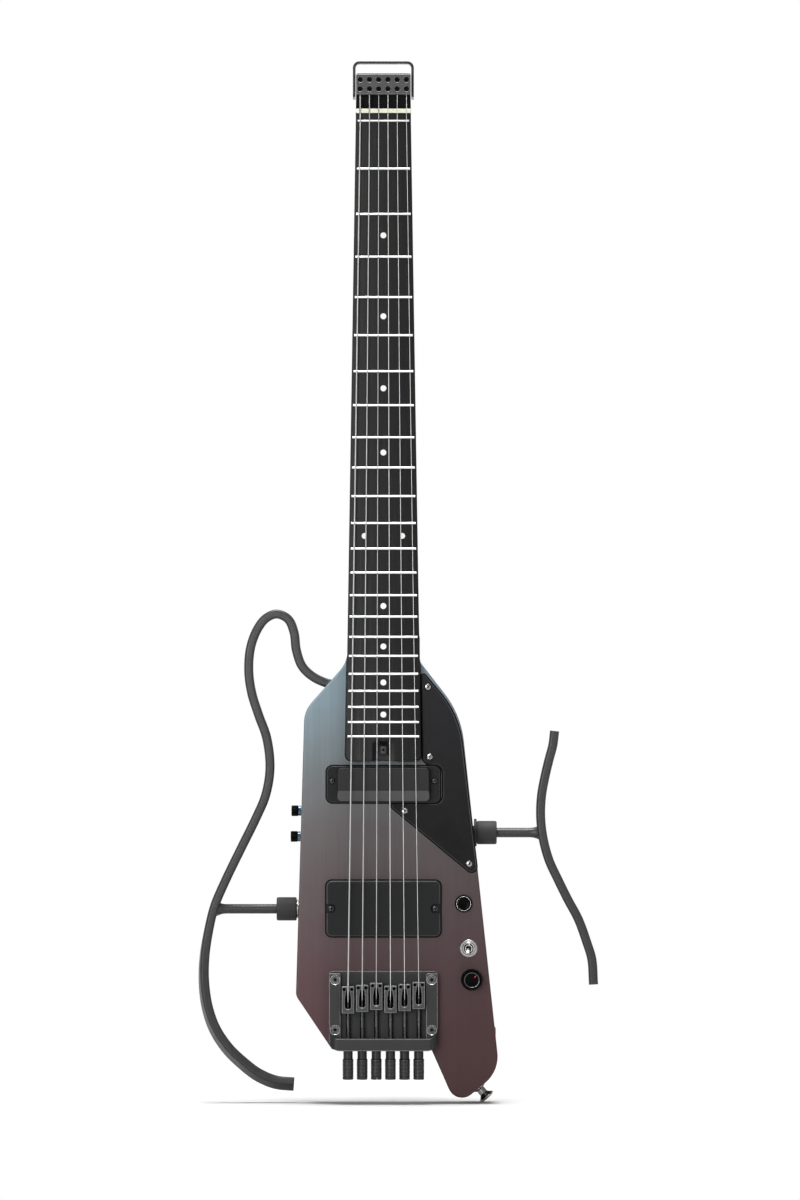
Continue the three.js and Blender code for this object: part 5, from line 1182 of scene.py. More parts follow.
def edge_cutters():
    """Wells for the side knobs, flats for the sockets and the jack, and what sinks into the edge"""
    cutters = []
    for share in SIDE_KNOB_SHARES.values():
        z = down_body(share)
        edge = body_edge(z, -1)
        bore = pin(KNOB_WELL_RADIUS, edge - CUT, edge + KNOB_WELL_DEPTH)
        cutters.append(formed(turned, bore, facing(TO_RIGHT, 0, ARM_PLANE, z)))
    jack_z = down_body(JACK_SHARE)
    flats = [(sign, z, radius + FLANGE_MARGIN) for sign, z, radius, *_ in SOCKETS.values()]
    flats.append((1, jack_z, JACK_FLAT_RADIUS))
    for sign, z, radius in flats:
        edge = body_edge(z, sign)
        low, high = sorted((edge, edge + sign * CUT))
        cutters.append(formed(turned, pin(radius, low, high), facing(TO_RIGHT, 0, ARM_PLANE, z)))
    for sign, z, *_ in SOCKETS.values():
        bore = pin(SOCKET_RADIUS + GAP, -SOCKET_DEPTH - SOCKET_ROOM, CUT)
        cutters.append(formed(turned, bore, from_edge(z, sign)))
    edge = body_edge(jack_z, 1)
    bore = pin(JACK_BORE_RADIUS, edge - JACK_BORE_DEPTH, edge + CUT)
    cutters.append(formed(turned, bore, facing(TO_RIGHT, 0, ARM_PLANE, jack_z)))
    plug_z = -LEFT_TOP - LEFT_ROUTE_SHARES[-1][1] * LEFT_HEIGHT
    mouth = rectangle(ARM_PLANE, plug_z, BAR_DEPTH + PLUG_ROOM, BAR_WIDTH + PLUG_ROOM, PLUG_RADIUS)
    cutters.append(formed(plate, mouth, body_edge(plug_z, -1) - PLUG_DEPTH, PLUG_END, 0, to=side))
    return cutters


def make_body():
    """The slab, with its pocket, cover seat, screw wells and what sinks into its edge"""
    outline = rounded(placed(BODY_SHARES), ARC_STEP / 2)
    bm = formed(slab, outline, rims(0, BODY_BACK, BODY_EDGE, steps=4))
    seat = inset(rounded(cover_corners()), -COVER_GAP)
    cutters = [heel_cutter(), pocket_cutter()]
    cutters.append(formed(slab, seat, [(0, BODY_BACK - COVER_THICK - 0.1), (0, BODY_BACK + CUT)]))
    for x, z in neck_screw_places():
        bore = well(4.5, 36, 0.6, BODY_BACK + 0.1, BODY_BACK + CUT)
        cutters.append(formed(turned, bore, facing(TO_PLAYER, x, 0, z)))
    bm = carved(bm, cutters + edge_cutters())
    piece("body_shell", bm, "body_wood", nodes=("body",), angle=28)


def guard_corners():
    """The inner corners follow the board's edge and go round the neck pickup's ring"""
    top = down_body(0.075)
    high = NECK_PICKUP + RING_LENGTH / 2 + GUARD_GAP
    low = NECK_PICKUP - RING_LENGTH / 2 - GUARD_GAP
    beside = RING_WIDTH / 2 + GUARD_RING_GAP
    return [
        (board_half(top) + GUARD_GAP, top, GUARD_CORNER),
        (board_half(high) + GUARD_GAP, high, GUARD_RING_CORNER),
        (beside, high, GUARD_RING_CORNER), (beside, low, GUARD_RING_CORNER),
        (0.023 * BODY_WIDTH, low, GUARD_CORNER), *placed(GUARD_OUTER_SHARES),
    ]


def make_pickguard():
    """The guard with its sunk screws"""
    face = -2 - GAP
    bm = formed(plate, guard_corners(), face, -GAP, 0.6, 0, steps=2)
    faces = [facing(TO_VIEWER, x, face, z) for x, z in GUARD_SCREWS]
    sink = [(0, -1.2), (2.75, -1.2), (2.75, -0.4), (3.2, 0.05), (3.2, 1), (0, 1)]
    bm = carved(bm, [formed(turned, sink, place) for place in faces])
    # Painted highlight on the guard's rims
    piece("guard_plate", bm, "guard_plastic", nodes=("pickguard",), angle=20, rim="plastic_edge")
    sunk = Matrix.Translation((0, 0, -0.9))
    places = [place @ sunk @ Matrix.Rotation(0.5 + i, 4, "Z") for i, place in enumerate(faces)]
    make_face_screws("guard_screws", "screw_steel", places, 2.5, 1.5, 0.95)
    make_shadow_line("guard_shadow_line", guard_corners())


def cover_corners():
    """The rear cover's corners follow the body's right edge"""
    top, low = down_body(0.54), down_body(0.9)
    right_top, right_low = (body_edge(z, 1) - COVER_WALL for z in (top, low))
    return [
        (right_top - COVER_TOP_WIDTH, top, COVER_RADIUS), (right_top, top, COVER_RADIUS),
        (right_low, low, COVER_RADIUS), (right_low - COVER_LOW_WIDTH, low, COVER_RADIUS),
    ]


def make_control_cover():
    """The rear cover with a screw near each corner"""
    bm = formed(plate, cover_corners(), BODY_BACK - COVER_THICK, BODY_BACK, 0, 0.3)
    piece("rear_plate", bm, "black_plastic", nodes=("control_cover",), angle=20)
    screws = bmesh.new()
    for x, z in inset([Vector(corner[:2]) for corner in cover_corners()], COVER_SCREW_INSET):
        cross_screw(screws, facing(TO_PLAYER, x, BODY_BACK - 0.3, z), 2.6, 0.9)
    piece("rear_plate_screws", screws, "steel")


def make_neck_screws():
    """The four screws in the body's back"""
    for i, (x, z) in enumerate(neck_screw_places()):
        place = facing(TO_PLAYER, x, BODY_BACK - 2.6, z) @ Matrix.Rotation(i, 4, "Z")
        bm = formed(cross_screw, place, 4.1, 1.4)
        piece(f"heel_screw_{i + 1}", bm, "steel", nodes=(f"neck_screw_{i + 1}",))


# Pickups
def make_pickup_ring():
    """The plate round the neck pickup, with its window and two screws"""
    outline = rectangle(0, NECK_PICKUP, RING_WIDTH, RING_LENGTH, RING_RADIUS)
    face, screw_z = -1.6 - GAP, NECK_PICKUP + RING_SCREW_SHIFT
    window = rectangle(0, NECK_PICKUP, NECK_COVER_WIDTH + 0.6, NECK_COVER_LENGTH + 0.6, NECK_COVER_RADIUS)
    holes = [formed(plate, window, -4, 2, 0)]
    sink = [(0, -1), (2.4, -1), (2.9, 0.6), (0, 0.6)]
    places = []
    for x in (-RING_SCREW_ASIDE, RING_SCREW_ASIDE):
        holes.append(formed(turned, sink, facing(TO_VIEWER, x, face, screw_z), sides=28))
        places.append(facing(TO_VIEWER, x, -0.5, screw_z))
    bm = carved(formed(plate, outline, face, -GAP, 0.5, 0), holes)
    # Painted highlight on the frame's rims
    piece("neck_pickup_frame", bm, "black_plastic", nodes=("neck_pickup_ring",), rim="plastic_edge")
    make_face_screws("neck_pickup_screws", "screw_metal", places, 2.3, 1.2, 0.9)
    make_shadow_line("neck_pickup_shadow_line", outline)


def make_neck_pickup():
    """The neck pickup's cover, with a sloped lower band painted paler than the same plastic above it, painted
    light on the slope
    """
    outline = rectangle(0, NECK_PICKUP, NECK_COVER_WIDTH, NECK_COVER_LENGTH, NECK_COVER_RADIUS)
    bm = formed(plate, outline, NECK_COVER_TOP, 10, 1.0, 0, steps=4)
    low, above = NECK_PICKUP - NECK_COVER_LENGTH / 2, NECK_COVER_TOP - CUT
    slope = [(NECK_COVER_TOP, low + BAND_LENGTH), (above, low + BAND_LENGTH), (above, low - CUT),
             (BAND_TOP, low - CUT)]
    bm = carved(bm, [formed(slab, slope, [(0, -50), (0, 50)], side)])
    made = piece("neck_pickup_case", bm, "pickup_plastic", nodes=("neck_pickup_cover",), angle=24)
    # Painted light: the sloped band is paler
    second_finish(made.data, "band_plastic", on_band)


def on_band(face):
    """Whether a face is the sloped band of the neck pickup's cover"""
    return face.normal.y < -0.5 and -0.5 < face.normal.z < -0.1 and face.area > 1e-5


def make_bridge_pickup():
    """A case with a notch for the screw at each end"""
    outline = rectangle(0, BRIDGE_PICKUP, BRIDGE_PICKUP_WIDTH, BRIDGE_PICKUP_LENGTH, BRIDGE_PICKUP_RADIUS)
    notches, places = [], []
    for sign in (-1, 1):
        x = sign * PICKUP_SCREW_ASIDE
        slot = rectangle(x + sign * 4, BRIDGE_PICKUP, 8 + PICKUP_NOTCH, PICKUP_NOTCH, PICKUP_NOTCH / 2 - 0.01)
        notches.append(formed(plate, slot, -7, -2, 0))
        places.append(facing(TO_VIEWER, x, -2, BRIDGE_PICKUP))
    bm = carved(formed(plate, outline, -5, -GAP, 1.0, 0), notches)
    # Painted highlight on the case's rims
    piece("bridge_pickup_case", bm, "black_plastic", nodes=("bridge_pickup_cover",), rim="plastic_edge")
    make_face_screws("bridge_pickup_screws", "screw_metal", places, 2.7, 1.5, 1.0)
    make_shadow_line("bridge_pickup_shadow_line", outline)


# Bridge
def make_bridge_wall():
    """The rear wall: its ends return along the rails, and are rounded in plan and from behind"""
    half, horn, tip = BRIDGE_HALF, WALL_HORN, WALL_FACE + WALL_RETURN
    inner = WALL_RETURN - 1.6
    plan = [
        (-half, tip, 1.1), (-half + horn, tip, 1.1), (-half + horn, WALL_FACE, inner),
        (half - horn, WALL_FACE, inner), (half - horn, tip, 1.1), (half, tip, 1.1),
        (half, BRIDGE_REAR, REAR_RADIUS), (-half, BRIDGE_REAR, REAR_RADIUS),
    ]
    wall = formed(plate, plan, -WALL_HEIGHT, -1.2, 0.6, 0, steps=2)
    aside, top = half + 0.02, -WALL_HEIGHT - 0.02
    shoulder = [(-aside, CUT, 0), (-aside, top, 6.5), (aside, top, 6.5), (aside, CUT, 0)]
    far = half + CUT
    tool = formed(slab, rounded(shoulder), [(0, BRIDGE_REAR - far), (0, tip + far)], up)
    return carved(wall, [tool], "INTERSECT")


def make_bridge_rail(sign):
    """One of the tray's side rails"""
    length = BRIDGE_LENGTH - RAIL_INSET - REAR_RADIUS
    x, z = sign * (BRIDGE_HALF - RAIL_WIDTH / 2), BRIDGE_FRONT - RAIL_INSET - length / 2
    rail = rectangle(x, z, RAIL_WIDTH - BRIDGE_SHY * 4, length, 1.2)
    return formed(plate, rail, -RAIL_HEIGHT, -1.3, 0.45, 0)


def make_tray():
    """The tray's floor, joined with its wall and its rails"""
    half, rear = BRIDGE_HALF - BRIDGE_SHY, BRIDGE_REAR + BRIDGE_SHY
    plan = [(-half, BRIDGE_FRONT, 2.4), (half, BRIDGE_FRONT, 2.4),
            (half, rear, REAR_RADIUS), (-half, rear, REAR_RADIUS)]
    bm = formed(plate, plan, -BRIDGE_FLOOR, -GAP, 0.4, 0)
    for part in (make_bridge_wall(), make_bridge_rail(-1), make_bridge_rail(1)):
        bm = carved(bm, [part], "UNION")
    return bm


def make_bridge_base():
    """The tray, drilled for the tuner screws and for the four screws in its rails"""
    middle = (BRIDGE_FRONT + BRIDGE_REAR) / 2 + RAIL_SCREW_SHIFT
    screws = bmesh.new()
    wells, places = [], []
    for sign, end in ((-1, -1), (-1, 1), (1, -1), (1, 1)):
        x, z = sign * (BRIDGE_HALF - RAIL_SCREW_EDGE), middle + end * RAIL_SCREW_REACH
        places.append((x, z))
        bore = facing(TO_VIEWER, x, -RAIL_HEIGHT, z)
        wells.append(formed(turned, well(3.3, -3, 0.6, 0.1, 8), bore, sides=40))
        place = facing(TO_VIEWER, x, -RAIL_HEIGHT + 2.9, z) @ Matrix.Rotation(sign + end, 4, "Z")
        socket_screw(screws, place, 2.85, 2.5, 0.48, 0.55)
    for i in STRINGS:
        wells.append(formed(turned, pin(ROD_BORE, BRIDGE_REAR - CUT, WALL_FACE + 2), rod_axis(i), sides=24))
    bm = carved(make_tray(), wells)
    # Painted highlight on the tray's bevels
    tray = piece("bridge_tray", bm, "black_hardware", nodes=("bridge_base",), angle=24, rim="bright_edge")
    # Painted shade on the rounded ends of the wall
    second_finish(tray.data, "dark_hardware", on_shaded_wall_end)
    # Painted glint on the chamfers of the screw wells
    in_well = near(places, 4.0)
    second_finish(tray.data, "glint_metal", lambda face: in_well(face) and 0.5 < -face.normal.y < 0.9)
    # Painted glint on the cap screws' bevels
    caps = piece("bridge_screws", screws, "saddle_metal", rim="glint_metal")
    # Painted shade: the hexagon sockets are near black
    second_finish(caps.data, "deep_black", near(places, 1.15))


def make_bridge_floor():
    """A dark sheet over the tray's floor between the rails, under the saddles: painted shade on the recessed
    floor
    """
    middle, length = (BRIDGE_FRONT + WALL_FACE - RAIL_INSET) / 2, BRIDGE_FRONT - WALL_FACE - RAIL_INSET
    inner = rectangle(0, middle, (BRIDGE_HALF - RAIL_WIDTH) * 2 - 0.6, length - 0.6, 0.4)
    bm = formed(plate, inner, -BRIDGE_FLOOR - 0.12, -BRIDGE_FLOOR + 0.3, 0.05, 0)
    piece("bridge_floor", bm, "floor_metal")


def on_shaded_wall_end(face):
    """Whether a face belongs to the rounded ends of the bridge's wall, above the rails, which take painted
    shade
    """
    above = face.center.y < (BODY_FACE - RAIL_HEIGHT - 0.2) * MM
    return above and abs(face.normal.z) < 0.1 and abs(face.normal.x) > 0.1


def string_slot(x, face):
    """Cutters for a saddle's flared string slot and for the notch in its lip"""
    start, middle, end = (face - SADDLE_SLOT[key] for key in ("start", "flare_end", "end"))
    mouth, wide = SADDLE_SLOT["mouth"], SADDLE_SLOT["wide"]
    drop = [(x - mouth, start, 0.5), (x - wide, middle, 6), (x - wide, end, 2.0),
            (x + wide, end, 2.0), (x + wide, middle, 6), (x + mouth, start, 0.5)]
    flare = [(-0.5, SADDLE_TOP - 0.05), (0, SADDLE_TOP + 0.45), (0, SADDLE_TOP + 6.5)]
    notch = rounded(rectangle(x, face, 1.7, 9, 0.3))
    return [formed(slab, rounded(drop), flare),
            formed(slab, notch, [(-0.3, SADDLE_TOP - 0.4), (0.2, SADDLE_TOP + 0.55)])]


def make_saddle(index):
    """A block with a string slot, two height screws and the bore for its tuner's rod"""
    x, face, body = spaced(index, BRIDGE_SPAN), saddle_face(index), f"saddle_{index + 1}"
    tools = string_slot(x, face)
    screws = bmesh.new()
    hole = [(0, -5.7), (1.35, -5.7), (1.35, -0.3), (1.62, 0.03), (1.62, 2), (0, 2)]
    for aside in (x - SADDLE_HOLE_ASIDE, x + SADDLE_HOLE_ASIDE):
        z = face - SADDLE_HOLE_BACK
        tools.append(formed(turned, hole, facing(TO_VIEWER, aside, SADDLE_TOP, z), sides=28))
        socket_screw(screws, facing(TO_VIEWER, aside, SADDLE_TOP + 4.6, z), 1.3, 1.2, 0.5, 0.2)
    bore = pin(ROD_BORE, face - SADDLE_LENGTH - CUT, face + CUT)
    tools.append(formed(turned, bore, rod_axis(index), sides=24))
    block = rectangle(x, face - SADDLE_LENGTH / 2, SADDLE_WIDTH, SADDLE_LENGTH, 0.7)
    bm = carved(formed(plate, block, SADDLE_TOP, SADDLE_BASE, 0.55, 0.3), tools)
    # Painted highlight on the saddle's bevels
    made = piece(f"saddle_block_{index + 1}", bm, "saddle_metal", body, (body,), 26, "bright_edge")
    depth, reach = (BODY_FACE + SADDLE_TOP + 0.7) * MM, SADDLE_WIDTH / 2 * 0.97 * MM

    # Painted shade: faces more than 0.7 mm below the top, between the sides, such as the slot's and holes'
    # walls, are near black
    def inside(face):
        return face.center.y > depth and abs(face.center.x - x * MM) < reach and face.normal.y < 0.9

    second_finish(made.data, "deep_black", inside)
    # The height screws are near black, their own black deepened to painted shade in their holes, with painted
    # highlight on their bevels
    piece(f"height_screws_{index + 1}", screws, "deep_black", body, rim="bright_edge")


def threaded(bm, x, y, low, high, sides=16):
    """A rod with a helical thread"""
    rings = []
    count = round((high - low) / THREAD_PITCH * 4)
    for i in range(count + 1):
        z = low + (high - low) * i / count
        ring = []
        for s in range(sides):
            phase = (z / THREAD_PITCH - s / sides) % 1
            reach = ROD_RADIUS - THREAD_DEPTH * abs(2 * phase - 1)
            angle = 2 * pi * s / sides
            ring.append(Vector((x + reach * cos(angle), y + reach * sin(angle), z)))
        rings.append(ring)
    loft(bm, rings)


def tuner_profile(shank, barrel, end):
    """The shank and the ribbed barrel, from the wall to the barrel's end"""
    groove = BARREL_RADIUS - RIB_DEPTH
    profile = [(0, shank), (3.4, shank), (3.6, shank - 0.3), (3.6, barrel + 0.5), (4.0, barrel)]
    pitch = (BARREL_LENGTH - 2.0) / RIB_COUNT
    for i in range(RIB_COUNT):
        start = barrel - 0.6 - pitch * i
        profile += [(BARREL_RADIUS, start), (BARREL_RADIUS, start - pitch * 0.5)]
        profile += [(groove, start - pitch * 0.64), (groove, start - pitch * 0.86)]
    return profile + [(BARREL_RADIUS, end + 1.2), (4.2, end + 0.7), (3.7, end + 0.1), (3.3, end), (0, end)]


def make_tuner_screw(index):
    """Threaded rod, shank and a ribbed barrel with a driver slot in its end"""
    name, place = f"tuner_screw_{index + 1}", rod_axis(index)
    shank = BRIDGE_REAR - GAP
    barrel = shank - SHANK_LENGTH
    end = barrel - BARREL_LENGTH
    bm = formed(turned, tuner_profile(shank, barrel, end), place, sides=44)
    slot = formed(plate, rectangle(0, 0, DRIVER_SLOT_WIDTH, 12), end - CUT, end + DRIVER_SLOT_DEPTH, 0, to=up)
    slot.transform(place @ Matrix.Rotation(DRIVER_SLOT_TURNS[index], 4, "Z"))
    made = piece(f"tuner_{index + 1}", carved(bm, [slot]), "barrel_metal", name, (name,), angle=30)
    axis = (TO_ROW @ place).translation.xy
    low, high = ((z + ZERO_FRET) * MM for z in (end + 1.3, barrel - 0.5))

    def in_groove(face):
        return low < face.center.z < high and (face.center.xy - axis).length < (BARREL_RADIUS - 0.2) * MM

    # Painted shade: the grooves between the ribs are near black
    second_finish(made.data, "deep_black", in_groove)
    second_finish(made.data, "dark_hardware", lambda face: face.center.z > high)
    rod = formed(threaded, *place.translation.xy, BRIDGE_REAR + GAP, BRIDGE_REAR + ROD_LENGTH)
    piece(f"tuner_rod_{index + 1}", rod, "rod_metal", name, angle=60)


# Front controls
def make_mode_button():
    """A stepped bezel with a bright ring round the button, a painted reflection, and painted highlight on the
    bezel's outer slope
    """
    x, z = on_body(*BUTTON_SHARES)
    place = facing(TO_VIEWER, x, 0, z)
    bezel = formed(tube_ring, [
        (4.8, 0.9), (5.1, 1.35), (5.5, 1.5), (5.9, 1.75), (6.3, 1.8), (6.6, 1.6), (6.8, 1.1), (6.8, GAP),
        (5.6, GAP), (5.6, -9), (4.8, -9),
    ], place, sides=56)
    made = piece("button_bezel", bezel, "gloss_plastic", nodes=("mode_bezel",))
    inside = near([(x, z)], 6.55)
    # Painted highlight on the bezel's outer slope
    second_finish(made.data, "gloss_edge", lambda face: face.normal.y < -0.15 and not inside(face))
    button = formed(turned, [
        (0, 2.75), (3.2, 2.8), (3.7, 2.95), (4.0, 3.0), (4.3, 2.9), (4.5, 2.6), (4.5, -4), (1.7, -4),
        (1.7, -11), (0, -11),
    ], place, sides=56)
    piece("push_button", button, "gloss_plastic", "mode_button", ("mode_button",))
    # A thin bright ring sunk in the bezel's inner slope: a painted reflection
    ring = formed(tube_ring, [
        (5.2, 1.2), (5.2, 1.9), (5.27, 2.0), (5.38, 2.0), (5.45, 1.9), (5.45, 1.2),
    ], place, sides=56)
    piece("button_glint_ring", ring, "fret_metal")


def make_toggle():
    """Washer, nut, threaded bushing and bat lever"""
    x, z = on_body(*TOGGLE_SHARES)
    place = facing(TO_VIEWER, x, 0, z)
    washer = formed(tube_ring, [
        (3.2, GAP), (6.3, GAP), (6.65, 0.35), (6.65, 0.65), (6.3, 1.0), (3.2, 1.0),
    ], place, sides=56)
    # Painted light on one chrome: the washer's bevels paler, the nut's and the bushing's bevels darker
    piece("toggle_washer", washer, "screw_steel", rim="steel")
    nut = formed(tube_ring, [
        (3.2, 1.0), (4.9, 1.0), (5.0, 1.2), (5.0, 2.4), (4.4, 3.0), (3.85, 3.0), (3.35, 2.5),
    ], place, sides=56)
    piece("toggle_nut", nut, "steel", rim="dark_chrome")
    bush = formed(tube_ring, [
        (2.1, -1.6), (3.1, -1.6), (3.1, 4.2), (2.75, 4.6), (2.4, 4.6), (2.1, 4.3),
    ], place, sides=40)
    turned(bush, pin(2.2, -1.7, -1.5), place, sides=32)
    made = piece("toggle_bushing", bush, "steel", nodes=("toggle_switch",), rim="dark_chrome")
    # Painted shade: the bore and the end inside it are near black
    second_finish(made.data, "deep_black", near([(x, z)], 2.2))
    swing = Matrix.Rotation(TOGGLE_SWING, 4, "Y") @ Matrix.Rotation(TOGGLE_TILT, 4, "X")
    tilt = Matrix.Translation((x, -1.0, z)) @ swing @ facing(TO_VIEWER, 0, 0, 0)
    bat = formed(turned, [
        (0, -1.8), (1.0, -1.5), (1.6, -0.8), (1.8, 0), (1.6, 0.8), (1.0, 1.5), (0.95, 3.5), (1.1, 6.5),
        (1.42, 9.6), (1.5, 10.1), (1.35, 10.6), (0.9, 10.9), (0, 11.0),
    ], tilt, sides=32)
    piece("toggle_bat", bat, "fret_metal", "toggle_lever", ("toggle_lever",), angle=60)


def make_volume():
    """A dished knob on a skirt, with a red mark on each, and painted highlights on the rims of the top and
    the skirt
    """
    z = down_body(VOLUME_SHARE)
    x = body_edge(z, 1) - VOLUME_INSET
    place = facing(TO_VIEWER, x, 0, z)
    knob = formed(turned, [
        (0, 13.6), (4.9, 13.6), (5.25, 13.75), (5.5, 14.05), (5.75, 14.1), (5.95, 13.9), (6.05, 13.5),
        (6.5, 5.9), (6.75, 5.2), (7.6, 4.9), (8.15, 4.55), (8.35, 4.0), (8.35, 1.9), (8.1, 1.6), (3, 1.6),
        (3, -8), (0, -8),
    ], place, sides=64)
    made = piece("volume_cap", knob, "gloss_plastic", "volume_knob", ("volume_knob",))
    # Painted highlight: paler rims on the top and on the skirt
    for inner, outer in ((5.3, 5.8), (8.2, 8.5)):
        in_outer, in_inner = near([(x, z)], outer), near([(x, z)], inner)
        second_finish(made.data, "gloss_edge", lambda face: in_outer(face) and not in_inner(face))
    marks = bmesh.new()
    turn = place @ Matrix.Rotation(radians(45), 4, "Z")
    for start, end, height, wide, slope in ((2.8, 4.7, 13.63, 0.5, 0.0), (6.95, 8.0, 5.0, 0.7, 0.35)):
        outline = rounded(rectangle((start + end) / 2, 0, end - start, wide, wide / 2.1))
        loft(marks, [[turn @ Vector((p.x, p.y, level - slope * (p.x - start))) for p in outline]
                     for level in (height - 0.3, height + 0.04)])
    piece("volume_pointer", marks, "red_mark", "volume_knob")


def make_side_knob(name, share):
    """A fluted knob on a shaft with a collar"""
    place = from_edge(down_body(share), -1)
    ridges = fluted(28, 0.05)
    knob = formed(turned, [
        (0, 7.5), (2.9, 7.5), (3.2, 7.7), (3.6, 7.7), (4.0, 7.3, ridges), (4.1, 6.9, ridges),
        (4.1, 3.1, ridges), (4.0, 2.8, ridges), (3.7, 2.5), (0, 2.5),
    ], place, sides=112)
    piece(f"{name}_cap", knob, "gloss_plastic", name, (name,))
    shaft = formed(turned, [
        (0, -6.5), (1.6, -6.5), (1.6, 0.3), (3.6, 0.3), (3.9, 0.6), (3.9, 2.2), (3.6, 2.5), (0, 2.5),
    ], place, sides=48)
    piece(f"{name}_shaft", shaft, "blue_chrome", name)


# Hardware at the edges
def make_jack():
    """The barrel of the output socket, sunk in the right edge"""
    place = from_edge(down_body(JACK_SHARE), 1)
    bm = formed(tube_ring, [
        (3.3, 0.3), (3.3, -21), (5.9, -21), (5.9, -0.9), (5.6, -0.4), (4.9, -0.1), (4.7, 0.3),
    ], place, sides=48)
    turned(bm, pin(5.8, -22, -20.8), place, sides=32)
    piece("jack_barrel", bm, "dark_hardware", nodes=("output_jack",))


def make_strap_buttons():
    """Turned buttons with a fluted neck and a cross recess in the head"""
    flutes = fluted(12, 0.14)
    neck = [(STRAP_NECK_RADIUS, height, flutes) for height in (STRAP_NECK_LOW, STRAP_NECK_HIGH)]
    top = STRAP_HEAD[-1][1]
    recess = [(2.0, top - 0.1, cross), (0.7, top - 1.5, cross), (0, top - 1.7)]
    profile = [*STRAP_FOOT, *neck, *STRAP_HEAD, *recess]
    low, high = (Vector(corner[:2]) for corner in placed(BODY_SHARES)[6:8])
    along = (high - low).normalized()
    out = Vector((along.y, 0, -along.x))
    foot = front(*low.lerp(high, 0.52), ARM_PLANE) + out * 0.3
    place = facing(out, *foot)
    bm = formed(turned, profile, place, sides=48)
    piece("strap_peg_lower", bm, "dark_chrome", nodes=("strap_button_lower",))
    place = facing(TO_PLAYER, 0, BODY_BACK + GAP, down_body(0.042))
    bm = formed(turned, profile, place, sides=48)
    piece("strap_peg_back", bm, "chrome", nodes=("strap_button_back",))


# Support arms
def route(shares, reach, top, height, samples=7):
    """Points on the smooth curve through an arm's places"""
    knots = [Vector((x * reach, -top - z * height)) for x, z in shares]
    ends = [knots[0] * 2 - knots[1], *knots, knots[-1] * 2 - knots[-2]]
    points = []
    for a, b, c, d in zip(ends, ends[1:], ends[2:], ends[3:]):
        t1 = sqrt((b - a).length)
        t2 = t1 + sqrt((c - b).length)
        t3 = t2 + sqrt((d - c).length)
        for i in range(samples):
            t = t1 + (t2 - t1) * i / samples
            ab = a.lerp(b, t / t1)
            bc = b.lerp(c, (t - t1) / (t2 - t1))
            cd = c.lerp(d, (t - t2) / (t3 - t2))
            points.append(ab.lerp(bc, t / t2).lerp(bc.lerp(cd, (t - t1) / (t3 - t1)), (t - t1) / (t2 - t1)))
    return points + [knots[-1]]


def lower_twist(z):
    """The left bar turns its edge to the front below its strut"""
    below = (LEFT_STRUT - z) / (LEFT_TOP + LEFT_HEIGHT + LEFT_STRUT)
    return LEFT_TWIST * min(1.0, max(0.0, below)) ** 1.3


def bar(points, twist_at, taper):
    """The flat bar swept along a route; the taper thins its last points by a share"""
    section = rounded(rectangle(0, 0, BAR_WIDTH, BAR_DEPTH, BAR_CORNER), radians(15))
    rings = []
    for i, point in enumerate(points):
        tangent = (points[min(i + 1, len(points) - 1)] - points[max(i - 1, 0)]).normalized()
        across = Vector((-tangent.y, 0, tangent.x))
        turn = Matrix.Rotation(twist_at(point.y), 2)
        scale = 1.0 - taper * max(0.0, (i - len(points) + 6) / 5)
        middle = Vector((point.x, ARM_PLANE, point.y))
        spots = [turn @ corner * scale for corner in section]
        rings.append([middle + across * spot.x + Vector((0, spot.y, 0)) for spot in spots])
    return rings


def route_x(shares, reach, top, height, z):
    """Where a route crosses a height"""
    share = (-z - top) / height
    for (x0, z0), (x1, z1) in zip(shares, shares[1:]):
        if (z0 - share) * (z1 - share) <= 0 and z0 != z1:
            return (x0 + (x1 - x0) * (share - z0) / (z1 - z0)) * reach
    return reach


def make_arm(name, sign, strut_z, way, twist_at=lambda z: 0.0, taper=0.0):
    """A bar with its strut, which flares where it meets the bar"""
    bm = formed(loft, bar(route(*way), twist_at, taper))
    reach = abs(route_x(*way, strut_z) - body_edge(strut_z, sign))
    radius = STRUT_DIAMETER / 2
    turned(bm, [
        (0, -STRUT_REACH), (radius, -STRUT_REACH), (radius, reach - 9), (radius + 0.3, reach - 6.5),
        (radius + 1.1, reach - 4), (radius + 2.2, reach - 1.5), (radius + 2.2, reach), (0, reach),
    ], from_edge(strut_z, sign), sides=32)
    piece(f"{name}_bar", bm, "arm_metal", name, (name,), angle=40)


def make_collar(name, sign, z, seat):
    """The rough sleeve that screws the strut to its socket"""
    start = seat + COLLAR_GAP
    end = start + COLLAR_LENGTH
    bm = formed(tube_ring, [
        (STRUT_BORE, start), (COLLAR_RADIUS - 0.8, start), (COLLAR_RADIUS - 0.2, start + 0.3),
        (COLLAR_RADIUS, start + 0.9), (COLLAR_RADIUS, end - 1.2), (COLLAR_RADIUS - 0.3, end - 0.4),
        (COLLAR_RADIUS - 1.0, end), (STRUT_BORE + 0.6, end), (STRUT_BORE, end - 0.4),
    ], from_edge(z, sign), sides=64)
    piece(f"{name}_sleeve", bm, "rough_black", name, (name,))


def make_socket(name, sign, z, radius, thickness, finish):
    """A tube sunk in the body's edge, with a flange"""
    bm = formed(tube_ring, [
        (STRUT_BORE, 0.3), (STRUT_BORE, -SOCKET_DEPTH), (SOCKET_RADIUS, -SOCKET_DEPTH), (SOCKET_RADIUS, 0.3),
        (radius - 0.3, 0.3), (radius, 0.6), (radius, thickness), (radius - 0.4, thickness + 0.3),
        (STRUT_BORE + 0.1, thickness + 0.3),
    ], from_edge(z, sign), sides=64)
    piece(f"{name}_flange", bm, finish, nodes=(name,))


